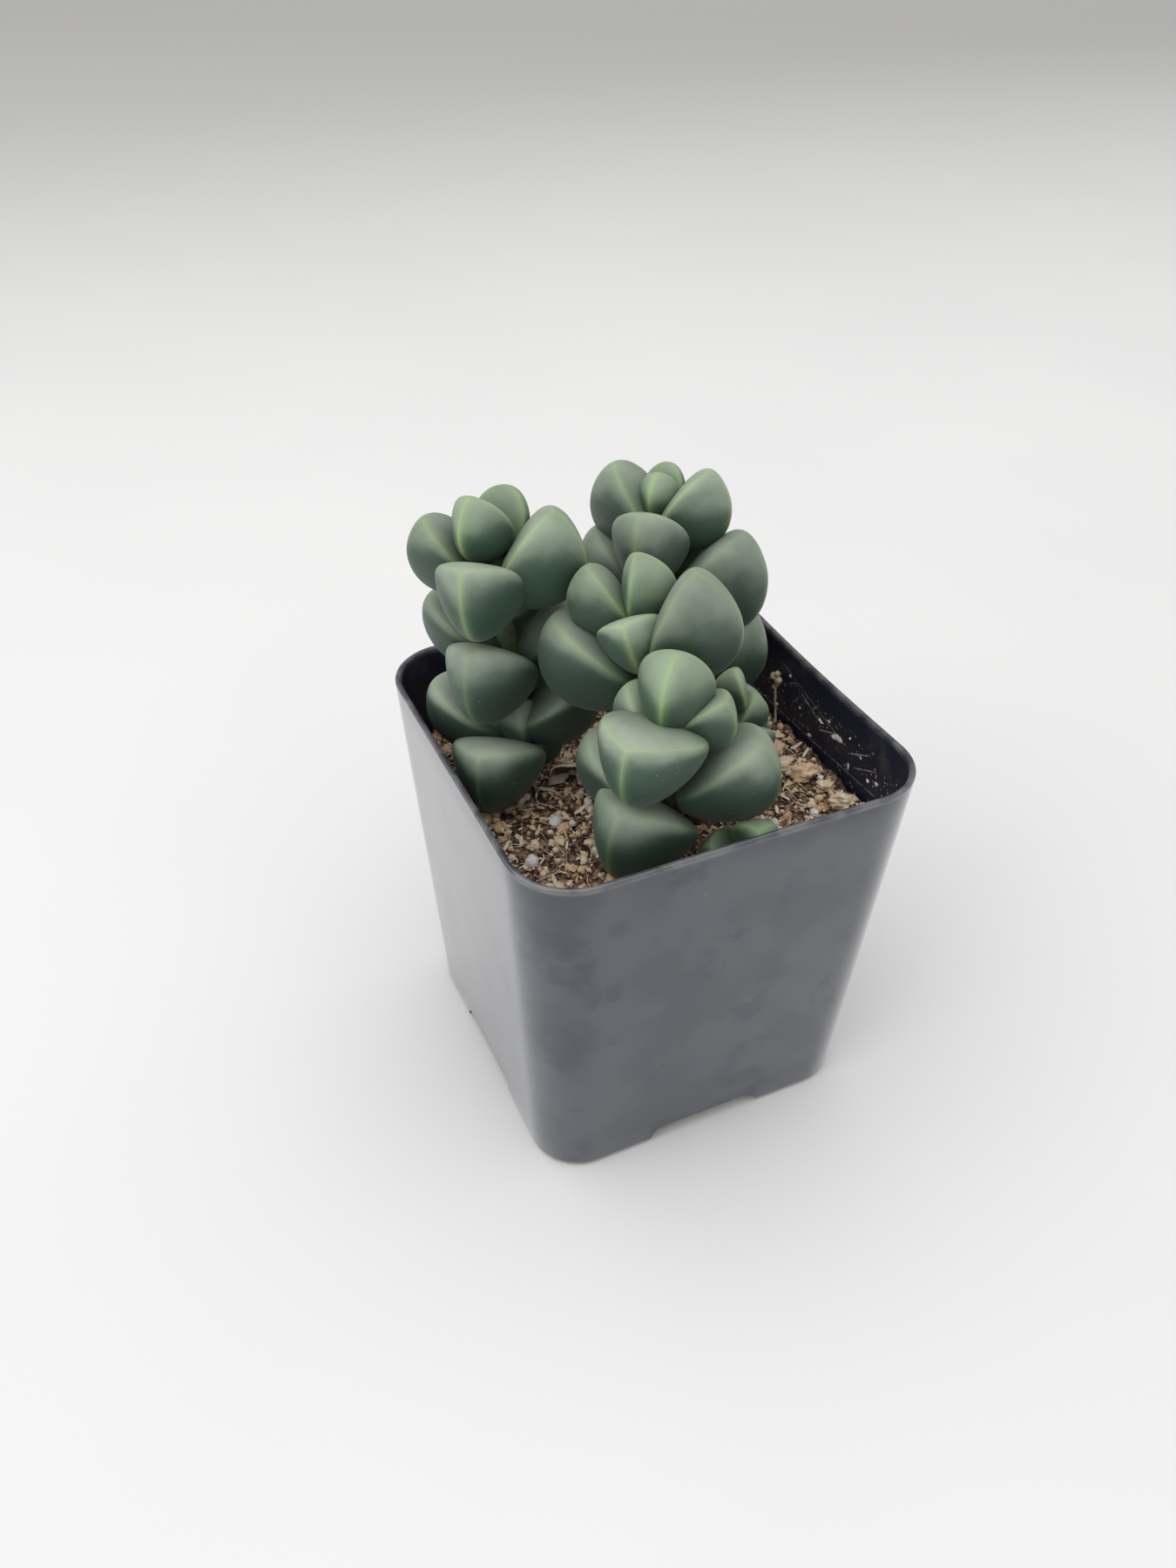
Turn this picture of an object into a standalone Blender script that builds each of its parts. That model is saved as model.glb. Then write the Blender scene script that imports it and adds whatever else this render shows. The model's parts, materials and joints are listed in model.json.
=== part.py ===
"""A potted corpuscularia: leafy stems of fat three-sided leaves in a square nursery pot.

Metres, +Z up. The origin is the middle of the pot's footprint, on the ground.
"""
import math
from dataclasses import dataclass

import bmesh
import bpy
from mathutils import Matrix, Vector, noise

MM = 0.001
CLEAR = 0.3 * MM
OVERCUT = 4 * MM

# Pot: a tapered square with round corners, standing on four corner feet
POT_HEIGHT = 66.0 * MM
POT_TOP_HALF = 32.0 * MM
POT_BOTTOM_HALF = 27.8 * MM
POT_TOP_CORNER = 9.8 * MM
POT_BOTTOM_CORNER = 8.0 * MM
POT_WALL = 1.0 * MM
POT_FLOOR = 1.2 * MM
RIM_BOW = 0.6 * MM
CORNER_STEPS = 5
SIDE_STEPS = 4
WALL_LEVELS = 3

# Channels crossing under the floor, open at the middle of each side
CHANNEL_HEIGHT = 3.4 * MM
CHANNEL_TOP_HALF = 9.0 * MM
CHANNEL_SLANT = 1.6 * MM
DRAIN_RADIUS = 3.0 * MM
DRAIN_SPACING = 13.0 * MM
DRAIN_SIDES = 16

# Soil: an uneven crumbly bed below the rim
SOIL_LEVEL = 51.4 * MM
SOIL_MOUND = 0.5 * MM
SOIL_CRUMB = 0.55 * MM
SOIL_CRUMB_SIZE = 3.2 * MM
SOIL_FINE_SCALE = 2.3
SOIL_FINE_SHARE = 0.5
SOIL_RINGS = 7

# Stems: where they stand, how deep they go and how round they are
STEM_FOOT_LEVEL = 50.0 * MM
STEM_SINK = 8.0 * MM
STEM_SIDES = 10
HOLE_SIDES = 12

# Leaf: three bulging faces met by soft edges, each face part of a ball around the leaf's core
FACE_BALL = 1.25
FACE_OFFSET = 0.66
FACE_LIFT = 0.10
TOP_BALL = 2.7
EDGE_SHARPNESS = 7
CORE_DEPTH = 0.33
TIP_WEIGHT = 0.88
LEAF_WIDTH = 0.88
LEAF_DEPTH = 0.73
LEAF_SEGMENTS = 12
LEAF_RINGS = 6
LEAF_SET_BACK = 2.6 * MM
HALVINGS = 24

# How much wider and deeper the faceted leaf is, as flat facets lie inside the smooth shape
FACET_GROWTH = 1.025

# Angles past which an edge stays a crease
POT_CREASE = 35
SOIL_CREASE = 30
LEAF_CREASE = 50
DRY_CREASE = 40

# Spacing of the leaf pairs down a stem, youngest first
BIG_DROPS = (0.0, 4.0, 9.5, 15.5, 22.0, 29.0, 36.5)
SMALL_DROPS = (0.0, 3.5, 8.0)
TINY_DROPS = (0.0, 3.0)

FRONT, BACK = 0, 180


@dataclass(frozen=True)
class Finish:
    """One plain Principled material."""

    name: str
    color: tuple
    roughness: float


@dataclass(frozen=True)
class Shoot:
    """One leafy stem, in millimetres and degrees.

    Each leaf row holds its pair counted from the tip, its side, its turn from the pair's own
    direction, its opening from the stem, its length, its lift along the stem and how much
    further out than the others it stands.
    """

    name: str
    foot: tuple
    tip: tuple
    spin: float
    drops: tuple
    stem: tuple
    leaves: tuple


PLASTIC = Finish("slate_plastic", (0.060, 0.065, 0.078), 0.42)
EARTH = Finish("coir_soil", (0.115, 0.065, 0.038), 0.95)
LEAF = Finish("glaucous_leaf", (0.155, 0.235, 0.165), 0.55)
STRAW = Finish("dry_leaf_skin", (0.300, 0.215, 0.130), 0.80)

SHOOTS = (
    Shoot("shoot_back_left", (-15.5, 11.5), (-18.4, 13.6, 92.2), 227, BIG_DROPS, (2.5, 1.6), (
        (1, FRONT, -16, 24, 11.0, -0.1, 0.0),
        (1, BACK, -7, 28, 10.5, -1.5, 1.5),
        (2, FRONT, 5, 31, 16.6, -3.1, 1.0),
        (2, BACK, 14, 36, 13.5, -1.0, 2.5),
        (3, FRONT, 2, 48, 15.5, 3.0, 1.0),
        (3, BACK, 0, 54, 15.0, -1.0, 0.0),
        (4, FRONT, 45, 44, 16.0, -3.4, 0.5),
        (4, BACK, -4, 56, 15.5, 0.0, 0.0),
        (5, FRONT, -5, 42, 16.5, 0.0, 0.0),
        (5, BACK, 0, 60, 15.0, 0.0, 0.0),
        (6, FRONT, 20, 60, 15.5, 0.0, 0.0),
        (6, BACK, 8, 55, 16.0, -1.5, 0.5),
        (7, FRONT, 0, 55, 17.0, 2.0, 1.5),
        (7, FRONT, -34, 26, 9.5, 4.0, 0.0),
        (7, FRONT, 32, 28, 9.5, 4.0, 0.0),
        (7, FRONT, 112, 56, 9.5, 0.5, 0.0))),
    Shoot("shoot_back_right", (12.5, 14.5), (12.5, 20.5, 88.5), 225, BIG_DROPS, (2.5, 1.6), (
        (1, FRONT, -5, 10, 8.0, -1.2, 1.5),
        (1, BACK, -10, 20, 8.5, -0.6, 0.5),
        (2, FRONT, 1, 35, 14.5, 0.0, 0.0),
        (2, BACK, 1, 29, 15.5, -1.0, 0.5),
        (3, FRONT, 0, 39, 14.5, 2.5, 2.5),
        (3, BACK, 0, 52, 15.0, -1.0, 0.0),
        (4, FRONT, -3, 39, 19.5, -0.5, 1.0),
        (4, BACK, 2, 40, 18.0, 0.5, 0.0),
        (5, BACK, 0, 58, 15.0, 0.0, 0.0),
        (6, FRONT, 10, 47, 19.0, 2.0, 0.5),
        (6, BACK, 0, 60, 15.5, 0.0, 0.0))),
    Shoot("shoot_middle", (6.0, -10.5), (-4.5, -1.6, 87.0), 156, BIG_DROPS, (2.4, 1.6), (
        (1, FRONT, 0, 16, 12.0, -3.3, 0.8),
        (1, BACK, 0, 18, 11.5, -3.3, 0.8),
        (2, FRONT, -2, 53, 11.5, -0.5, 0.0),
        (2, BACK, 0, 34, 10.0, -3.0, 0.0),
        (3, FRONT, -6, 34, 18.4, -2.4, 0.6),
        (3, BACK, -19, 33, 18.0, -0.5, 1.7))),
    Shoot("shoot_front", (-2.0, -13.5), (-3.5, -15.5, 79.0), 216, BIG_DROPS, (2.4, 1.6), (
        (1, FRONT, 10, 6, 13.0, -2.5, 0.5),
        (1, BACK, 0, 16, 8.0, -1.0, -0.3),
        (2, FRONT, 0, 43, 10.5, 1.0, 1.5),
        (2, BACK, 8, 42, 11.2, -1.7, 0.8),
        (3, FRONT, 0, 60, 18.0, 6.0, 0.0),
        (4, FRONT, 9, 42, 17.0, 1.5, 2.0),
        (4, BACK, 9, 55, 17.0, -1.0, 0.0),
        (5, FRONT, -8, 46, 18.5, 0.5, 0.0))),
    Shoot("shoot_small_right", (14.5, -3.0), (15.5, -3.0, 61.5), 159, SMALL_DROPS, (1.6, 1.1), (
        (1, FRONT, -7, 19, 7.5, 3.5, 1.5),
        (1, BACK, -2, 20, 8.0, -1.0, 0.0),
        (2, FRONT, 0, 44, 12.0, 0.0, 0.0),
        (2, BACK, 0, 44, 12.0, 0.0, 0.0))),
    Shoot("shoot_small_front", (7.5, -21.5), (5.0, -25.0, 57.0), 184, TINY_DROPS, (1.4, 1.0), (
        (1, FRONT, -28, 38, 8.0, -2.0, 2.5),
        (1, BACK, 9, 14, 9.0, -1.5, 0.0))),
)

# Fallen dry leaf: an arched flake on the soil, its open front end raised
CURL_PLACE = (-10.2 * MM, 4.6 * MM)
CURL_TURN = math.radians(-30)
CURL_TILT = math.radians(-28)
CURL_RADIUS = 3.3 * MM
CURL_THICK = 0.7 * MM
CURL_LENGTH = 4.6 * MM
CURL_SWEEP = math.radians(196)
CURL_STEPS = 12
CURL_END_SHARE = 0.55

# Dried sprig leaning in the corner between soil and right wall: foot, head and side buds
SPRIG_FOOT = Vector((28.6, 6.4, 52.9)) * MM
SPRIG_HEAD = Vector((29.1, 8.2, 60.2)) * MM
SPRIG_RADIUS = 0.40 * MM
SPRIG_SIDES = 6
SPRIG_BUD_RISE = 0.3
SPRIG_BUDS = ((0.48, 0.55, 190), (0.80, 0.60, 350), (0.96, 0.85, 10), (0.95, 0.80, 175))


def clear_scene() -> None:
    """Remove whatever the scene starts with."""
    for item in list(bpy.data.objects):
        bpy.data.objects.remove(item, do_unlink=True)


def material(finish: Finish) -> bpy.types.Material:
    """A Principled material in the finish's colour, made once."""
    found = bpy.data.materials.get(finish.name)
    if found:
        return found
    made = bpy.data.materials.new(finish.name)
    made.use_nodes = True
    made.diffuse_color = (*finish.color, 1.0)
    shader = made.node_tree.nodes["Principled BSDF"]
    shader.inputs["Base Color"].default_value = (*finish.color, 1.0)
    shader.inputs["Roughness"].default_value = finish.roughness
    shader.inputs["Metallic"].default_value = 0.0
    return made


def object_from(form: bmesh.types.BMesh, name: str, finish: Finish) -> bpy.types.Object:
    """Turn a bmesh into a linked, named object with its material."""
    mesh = bpy.data.meshes.new(name)
    form.to_mesh(mesh)
    form.free()
    mesh.materials.append(material(finish))
    made = bpy.data.objects.new(name, mesh)
    bpy.context.scene.collection.objects.link(made)
    return made


def smooth(item: bpy.types.Object, degrees: float) -> None:
    """Shade an object smooth, with creases kept past an angle."""
    item.data.shade_smooth()
    item.data.set_sharp_from_angle(angle=math.radians(degrees))


def boolean(item: bpy.types.Object, others: list, operation: str) -> None:
    """Apply one Boolean with a collection of other objects, then remove them."""
    group = bpy.data.collections.new(item.name + "_tools")
    bpy.context.scene.collection.children.link(group)
    for other in others:
        bpy.context.scene.collection.objects.unlink(other)
        group.objects.link(other)
    change = item.modifiers.new(operation.lower(), "BOOLEAN")
    change.operation = operation
    change.solver = "EXACT"
    change.operand_type = "COLLECTION"
    change.collection = group
    depsgraph = bpy.context.evaluated_depsgraph_get()
    result = bpy.data.meshes.new_from_object(item.evaluated_get(depsgraph))
    item.modifiers.remove(change)
    item.data = result
    for other in others:
        bpy.data.objects.remove(other, do_unlink=True)
    bpy.data.collections.remove(group)


def pot_share(z: float) -> float:
    """Height as a share of the pot's own."""
    return z / POT_HEIGHT


def bowed(point: Vector) -> Vector:
    """Pull the middle of the +X wall in towards its top, as thin plastic bows."""
    if point.x <= 0:
        return point
    along = max(0.0, 1.0 - (point.y / POT_TOP_HALF) ** 2) ** 2
    side = max(0.0, point.x / POT_TOP_HALF) ** 3
    return point - Vector((RIM_BOW * along * side * pot_share(point.z) ** 3, 0, 0))


def square_ring(half: float, corner: float, z: float) -> list:
    """Points round a square with round corners, at one height."""
    points = []
    for quarter in range(4):
        turn = Matrix.Rotation(quarter * math.pi / 2, 3, "Z")
        for step in range(CORNER_STEPS + 1):
            angle = math.pi / 2 * step / CORNER_STEPS
            point = Vector((half - corner + corner * math.cos(angle),
                            half - corner + corner * math.sin(angle), z))
            points.append(bowed(turn @ point))
        straight = half - corner
        for step in range(1, SIDE_STEPS):
            across = straight - 2 * straight * step / SIDE_STEPS
            points.append(bowed(turn @ Vector((across, half, z))))
    return points


def pot_section(z: float, inset: float) -> tuple:
    """Half width and corner radius of the pot at a height, inset from its outer face."""
    share = pot_share(z)
    half = POT_BOTTOM_HALF + (POT_TOP_HALF - POT_BOTTOM_HALF) * share
    corner = POT_BOTTOM_CORNER + (POT_TOP_CORNER - POT_BOTTOM_CORNER) * share
    return half - inset, corner - inset


def tapered_block(low: float, high: float, inset: float) -> bmesh.types.BMesh:
    """A closed block that follows the pot's outline between two heights."""
    form = bmesh.new()
    rings = []
    for level in range(WALL_LEVELS + 1):
        z = low + (high - low) * level / WALL_LEVELS
        rings.append([form.verts.new(p) for p in square_ring(*pot_section(z, inset), z)])
    for lower, upper in zip(rings, rings[1:]):
        for index in range(len(lower)):
            after = (index + 1) % len(lower)
            form.faces.new((lower[index], lower[after], upper[after], upper[index]))
    form.faces.new(list(reversed(rings[0])))
    form.faces.new(rings[-1])
    return form


def channel(grow: float, along_x: bool) -> bpy.types.Object:
    """A slant-sided bar along one axis under the floor, grown evenly by an amount."""
    reach = POT_TOP_HALF
    top = CHANNEL_HEIGHT + grow
    narrow = CHANNEL_TOP_HALF + grow
    slope = CHANNEL_SLANT / CHANNEL_HEIGHT
    below = -OVERCUT
    wide = narrow + slope * (top - below)
    profile = ((-wide, below), (wide, below), (narrow, top), (-narrow, top))
    form = bmesh.new()
    near = [form.verts.new((-reach, y, z)) for y, z in profile]
    form.faces.new(near)
    sweep = bmesh.ops.extrude_face_region(form, geom=form.faces[:])
    far = [item for item in sweep["geom"] if isinstance(item, bmesh.types.BMVert)]
    bmesh.ops.translate(form, verts=far, vec=(2 * reach, 0, 0))
    if not along_x:
        bmesh.ops.rotate(form, verts=form.verts, matrix=Matrix.Rotation(math.pi / 2, 3, "Z"))
    bmesh.ops.recalc_face_normals(form, faces=form.faces)
    return object_from(form, "channel", PLASTIC)


def cylinder(radius: float, low: Vector, high: Vector, segments: int, radius_high: float = 0.0):
    """A closed round bar, or a taper, between two points."""
    form = bmesh.new()
    axis = high - low
    turn = Vector((0, 0, 1)).rotation_difference(axis).to_matrix().to_4x4()
    bmesh.ops.create_cone(form, cap_ends=True, segments=segments, radius1=radius,
                          radius2=radius_high or radius, depth=axis.length,
                          matrix=Matrix.Translation((low + high) / 2) @ turn)
    return form


def hollow(inset: float) -> bpy.types.Object:
    """The pot's inside as a solid, with the raised floor's cross taken out of its underside."""
    inside = object_from(tapered_block(POT_FLOOR + inset, POT_HEIGHT + OVERCUT, POT_WALL + inset),
                         "inside", PLASTIC)
    bars = [channel(POT_FLOOR + inset, along) for along in (True, False)]
    boolean(inside, bars, "DIFFERENCE")
    return inside


def build_pot() -> bpy.types.Object:
    """The square pot with its feet, channels and drain holes."""
    pot = object_from(tapered_block(0.0, POT_HEIGHT, 0.0), "nursery_pot", PLASTIC)
    cutters = [hollow(0.0), channel(0.0, True), channel(0.0, False)]
    places = [(0, 0)] + [(x * DRAIN_SPACING, y * DRAIN_SPACING)
                         for x, y in ((1, 0), (-1, 0), (0, 1), (0, -1))]
    for x, y in places:
        low = Vector((x, y, CHANNEL_HEIGHT - POT_FLOOR))
        high = Vector((x, y, CHANNEL_HEIGHT + 2 * POT_FLOOR))
        cutters.append(object_from(cylinder(DRAIN_RADIUS, low, high, DRAIN_SIDES), "drain", PLASTIC))
    boolean(pot, cutters, "DIFFERENCE")
    smooth(pot, POT_CREASE)
    return pot


def soil_height(x: float, y: float) -> float:
    """The bed's height at a place: a low mound, broken into crumbs."""
    spread = (x * x + y * y) / (POT_TOP_HALF * POT_TOP_HALF)
    place = Vector((x, y, 0.0)) / SOIL_CRUMB_SIZE
    crumbs = noise.noise(place) + SOIL_FINE_SHARE * noise.noise(place * SOIL_FINE_SCALE)
    return SOIL_LEVEL + SOIL_MOUND * (1.0 - spread) + SOIL_CRUMB * crumbs


def soil_block() -> bpy.types.Object:
    """The bed: the pot's inside up to its crumbled top."""
    form = bmesh.new()
    inset = POT_WALL + CLEAR
    low = POT_FLOOR + CLEAR
    bottom = [form.verts.new(p) for p in square_ring(*pot_section(low, inset), low)]
    half, corner = pot_section(SOIL_LEVEL, inset)
    rings = [bottom]
    for ring in range(SOIL_RINGS):
        scale = 1.0 - ring / SOIL_RINGS
        shape = square_ring(half * scale, corner * scale, SOIL_LEVEL)
        rings.append([form.verts.new((p.x, p.y, soil_height(p.x, p.y))) for p in shape])
    for lower, upper in zip(rings, rings[1:]):
        for index in range(len(lower)):
            after = (index + 1) % len(lower)
            form.faces.new((lower[index], lower[after], upper[after], upper[index]))
    middle = form.verts.new((0, 0, soil_height(0, 0)))
    last = rings[-1]
    for index in range(len(last)):
        form.faces.new((last[index], last[(index + 1) % len(last)], middle))
    form.faces.new(list(reversed(bottom)))
    bmesh.ops.triangulate(form, faces=form.faces)
    return object_from(form, "potting_soil", EARTH)


def ray_to_ball(direction: Vector, start: Vector, centre: Vector, radius: float) -> float:
    """Distance along a ray from inside a ball to its surface."""
    offset = start - centre
    lean = direction.dot(offset)
    return -lean + math.sqrt(lean * lean + radius * radius - offset.dot(offset))


FACE_REACH = math.sqrt(FACE_BALL ** 2 - FACE_OFFSET ** 2)
FORM_DEPTH = FACE_REACH - FACE_LIFT
FORM_HALF_WIDTH = math.sqrt(FACE_BALL ** 2 - FACE_LIFT ** 2) - FACE_OFFSET
CORE = Vector((0, 0, -CORE_DEPTH * FORM_DEPTH))


def face_distances(direction: Vector) -> tuple:
    """Distances from the leaf's core to its two side faces and its top face."""
    right = ray_to_ball(direction, CORE, Vector((0, -FACE_OFFSET, FACE_LIFT)), FACE_BALL)
    left = ray_to_ball(direction, CORE, Vector((0, FACE_OFFSET, FACE_LIFT)), FACE_BALL)
    top = ray_to_ball(direction, CORE, Vector((0, 0, -TOP_BALL)), TOP_BALL)
    return right, left, top


def section_direction(polar: float, section: float) -> Vector:
    """A direction from the core: polar from the tip, section round the length from +Y."""
    return Vector((math.cos(polar), math.sin(polar) * math.cos(section),
                   math.sin(polar) * math.sin(section)))


def margin_angle(polar: float) -> float:
    """The section angle where side face and top face meet, found by halving."""
    low, high = -math.pi / 2, math.pi / 2
    for _ in range(HALVINGS):
        middle = (low + high) / 2
        right, _left, top = face_distances(section_direction(polar, middle))
        if right < top:
            low = middle
        else:
            high = middle
    return (low + high) / 2


def section_angle(turn: float, margin: float) -> float:
    """Map an even turn from the keel to section angles, a third of the turn to each face."""
    third = 2 * math.pi / 3
    if turn <= third:
        return -math.pi / 2 + (margin + math.pi / 2) * turn / third
    if turn <= 2 * third:
        return margin + (math.pi - 2 * margin) * (turn - third) / third
    return math.pi - margin + (margin + math.pi / 2) * (turn - 2 * third) / third


def leaf_form() -> bmesh.types.BMesh:
    """A leaf of length, width and depth 1: base at the origin, tip at +X, keel down."""
    form = bmesh.new()
    bmesh.ops.create_uvsphere(form, u_segments=LEAF_SEGMENTS, v_segments=LEAF_RINGS, radius=1.0)
    margins = {}
    for vert in form.verts:
        polar = math.acos(max(-1.0, min(1.0, vert.co.z)))
        turn = math.atan2(vert.co.y, vert.co.x) % (2 * math.pi)
        key = round(polar, 3)
        if key not in margins:
            margins[key] = margin_angle(polar)
        direction = section_direction(polar, section_angle(turn, margins[key]))
        softened = sum(d ** -EDGE_SHARPNESS for d in face_distances(direction))
        vert.co = CORE + direction * softened ** (-1.0 / EDGE_SHARPNESS)
    base = min(vert.co.x for vert in form.verts)
    tip = max(vert.co.x for vert in form.verts)
    for vert in form.verts:
        length = (vert.co.x - base) / (tip - base)
        across = FACET_GROWTH * vert.co.y / (2 * FORM_HALF_WIDTH)
        deep = FACET_GROWTH * (vert.co.z - CORE.z) + CORE.z
        vert.co = (length ** TIP_WEIGHT, across, deep / FORM_DEPTH)
    return form


def stem_line(shoot: Shoot) -> tuple:
    """A shoot's foot on the soil and its tip."""
    foot = Vector((shoot.foot[0] * MM, shoot.foot[1] * MM, STEM_FOOT_LEVEL))
    return foot, Vector(shoot.tip) * MM


def leaf_frame(shoot: Shoot, row: tuple) -> Matrix:
    """Where one leaf of the unit form goes: its size, its turn and its place on the stem."""
    pair, side, turn, opening, length, lift, further = row
    foot, tip = stem_line(shoot)
    axis = (tip - foot).normalized()
    bearing = math.radians(shoot.spin + 90 * ((pair - 1) % 2) + side + turn)
    out = Vector((math.cos(bearing), math.sin(bearing), 0))
    out = (out - axis * out.dot(axis)).normalized()
    open_angle = math.radians(opening)
    ahead = axis * math.cos(open_angle) + out * math.sin(open_angle)
    up = axis * math.sin(open_angle) - out * math.cos(open_angle)
    across = up.cross(ahead)
    set_back = LEAF_SET_BACK - further * MM
    start = tip - axis * (shoot.drops[pair - 1] - lift) * MM - out * set_back
    size = length * MM
    columns = (ahead * size, across * size * LEAF_WIDTH, up * size * LEAF_DEPTH)
    frame = Matrix.Identity(4)
    for index, column in enumerate(columns):
        for line in range(3):
            frame[line][index] = column[line]
    frame.translation = start
    return frame


def keep_outer_skin(item: bpy.types.Object) -> None:
    """Fill the hollows that fusing closed off and drop scraps: only the largest shell stays."""
    form = bmesh.new()
    form.from_mesh(item.data)
    waiting = set(form.faces)
    shells = []
    while waiting:
        shell = {waiting.pop()}
        reached = list(shell)
        while reached:
            face = reached.pop()
            for edge in face.edges:
                for other in edge.link_faces:
                    if other in waiting:
                        waiting.discard(other)
                        shell.add(other)
                        reached.append(other)
        shells.append(shell)
    shells.sort(key=lambda shell: sum(face.calc_area() for face in shell))
    for shell in shells[:-1]:
        bmesh.ops.delete(form, geom=list(shell), context="FACES")
    form.to_mesh(item.data)
    form.free()


def build_shoot(shoot: Shoot, form: bmesh.types.BMesh) -> bpy.types.Object:
    """A stem with its leaves grown into it as one body."""
    foot, tip = stem_line(shoot)
    axis = (tip - foot).normalized()
    low, high = foot - axis * STEM_SINK, tip - axis * shoot.stem[1] * MM
    stem = object_from(cylinder(shoot.stem[0] * MM, low, high, STEM_SIDES, shoot.stem[1] * MM),
                       shoot.name, LEAF)
    leaves = []
    for row in shoot.leaves:
        one = form.copy()
        bmesh.ops.transform(one, matrix=leaf_frame(shoot, row), verts=one.verts)
        bmesh.ops.triangulate(one, faces=one.faces)
        leaves.append(object_from(one, shoot.name + "_leaf", LEAF))
    boolean(stem, leaves, "UNION")
    keep_outer_skin(stem)
    smooth(stem, LEAF_CREASE)
    return stem


def build_soil() -> bpy.types.Object:
    """The bed with a plain blind hole for every stem."""
    soil = soil_block()
    cutters = [channel(POT_FLOOR + CLEAR, along) for along in (True, False)]
    for shoot in SHOOTS:
        foot, tip = stem_line(shoot)
        axis = (tip - foot).normalized()
        low = foot - axis * (STEM_SINK + CLEAR)
        high = foot + axis * STEM_SINK
        hole = cylinder(shoot.stem[0] * MM + CLEAR, low, high, HOLE_SIDES)
        cutters.append(object_from(hole, "hole", EARTH))
    boolean(soil, cutters, "DIFFERENCE")
    smooth(soil, SOIL_CREASE)
    return soil


def build_dry_leaf() -> bpy.types.Object:
    """A curled dry leaf: an arched strip narrowing to both ends of its sweep."""
    form = bmesh.new()
    rows = []
    for step in range(CURL_STEPS + 1):
        share = step / CURL_STEPS
        angle = CURL_SWEEP * (share - 0.5)
        swell = CURL_END_SHARE + (1 - CURL_END_SHARE) * math.sin(math.pi * share)
        half = CURL_LENGTH / 2 * swell
        row = []
        for radius, y in ((CURL_RADIUS, -half), (CURL_RADIUS, half),
                          (CURL_RADIUS - CURL_THICK, half), (CURL_RADIUS - CURL_THICK, -half)):
            row.append(form.verts.new((radius * math.sin(angle), y, radius * math.cos(angle))))
        rows.append(row)
    for before, after in zip(rows, rows[1:]):
        for index in range(4):
            other = (index + 1) % 4
            form.faces.new((before[index], before[other], after[other], after[index]))
    form.faces.new(list(reversed(rows[0])))
    form.faces.new(rows[-1])
    bmesh.ops.recalc_face_normals(form, faces=form.faces)
    x, y = CURL_PLACE
    lean = Matrix.Rotation(CURL_TURN, 4, "Z") @ Matrix.Rotation(CURL_TILT, 4, "X")
    turn = Matrix.Translation((x, y, 0)) @ lean
    bmesh.ops.transform(form, matrix=turn, verts=form.verts)
    clearance = min(v.co.z - soil_height(v.co.x, v.co.y) for v in form.verts)
    bmesh.ops.translate(form, verts=form.verts, vec=(0, 0, CLEAR - clearance))
    dry = object_from(form, "dry_leaf", STRAW)
    smooth(dry, DRY_CREASE)
    return dry


def build_sprig() -> bpy.types.Object:
    """A dried sprig: a thin twig with small round buds along it."""
    axis = SPRIG_HEAD - SPRIG_FOOT
    twig = object_from(cylinder(SPRIG_RADIUS, SPRIG_FOOT, SPRIG_HEAD, SPRIG_SIDES), "dried_sprig", STRAW)
    buds = []
    for share, radius, degrees in SPRIG_BUDS:
        bearing = math.radians(degrees)
        side = Vector((0, math.cos(bearing), SPRIG_BUD_RISE * math.sin(bearing)))
        centre = SPRIG_FOOT + axis * share + side * SPRIG_RADIUS
        form = bmesh.new()
        bmesh.ops.create_icosphere(form, subdivisions=1, radius=radius * MM,
                                   matrix=Matrix.Translation(centre))
        buds.append(object_from(form, "bud", STRAW))
    boolean(twig, buds, "UNION")
    smooth(twig, DRY_CREASE)
    return twig


def main() -> None:
    """Build every piece of the potted plant."""
    clear_scene()
    build_pot()
    build_soil()
    form = leaf_form()
    for shoot in SHOOTS:
        build_shoot(shoot, form)
    form.free()
    build_dry_leaf()
    build_sprig()


main()
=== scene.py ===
"""Looks of a potted corpuscularia: plump keeled leaves, a coir potting mix and a square nursery pot.

Metres, +Z up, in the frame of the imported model, whose origin is the middle of the pot's footprint.
"""

import json
import logging
import math
import random
from collections.abc import Sequence
from dataclasses import dataclass, field
from enum import Enum
from typing import Union

import bmesh
import bpy
from mathutils import Euler, Matrix, Vector, noise

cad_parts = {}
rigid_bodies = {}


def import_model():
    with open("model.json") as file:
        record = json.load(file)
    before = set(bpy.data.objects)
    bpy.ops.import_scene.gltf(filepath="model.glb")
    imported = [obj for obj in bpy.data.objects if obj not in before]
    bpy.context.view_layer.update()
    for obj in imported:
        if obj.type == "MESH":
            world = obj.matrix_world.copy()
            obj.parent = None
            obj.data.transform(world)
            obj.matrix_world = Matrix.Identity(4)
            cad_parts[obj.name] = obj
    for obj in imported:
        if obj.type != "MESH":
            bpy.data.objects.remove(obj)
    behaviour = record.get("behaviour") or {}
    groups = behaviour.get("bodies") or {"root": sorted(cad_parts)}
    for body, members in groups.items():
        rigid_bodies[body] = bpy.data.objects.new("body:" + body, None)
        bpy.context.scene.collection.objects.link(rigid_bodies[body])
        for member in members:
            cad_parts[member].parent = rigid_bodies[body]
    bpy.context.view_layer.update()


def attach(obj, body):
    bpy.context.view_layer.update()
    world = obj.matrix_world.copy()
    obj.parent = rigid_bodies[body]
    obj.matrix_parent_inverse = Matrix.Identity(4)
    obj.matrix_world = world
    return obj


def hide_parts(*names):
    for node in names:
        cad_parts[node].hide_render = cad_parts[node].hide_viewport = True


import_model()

LOG = logging.getLogger("corpuscularia")
MM = 0.001
WELD = 0.001 * MM
FULL_TURN = 2 * math.pi
QUARTER_TURN = math.pi / 2
BODY = "root"
NOISE_SEED = 1

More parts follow.
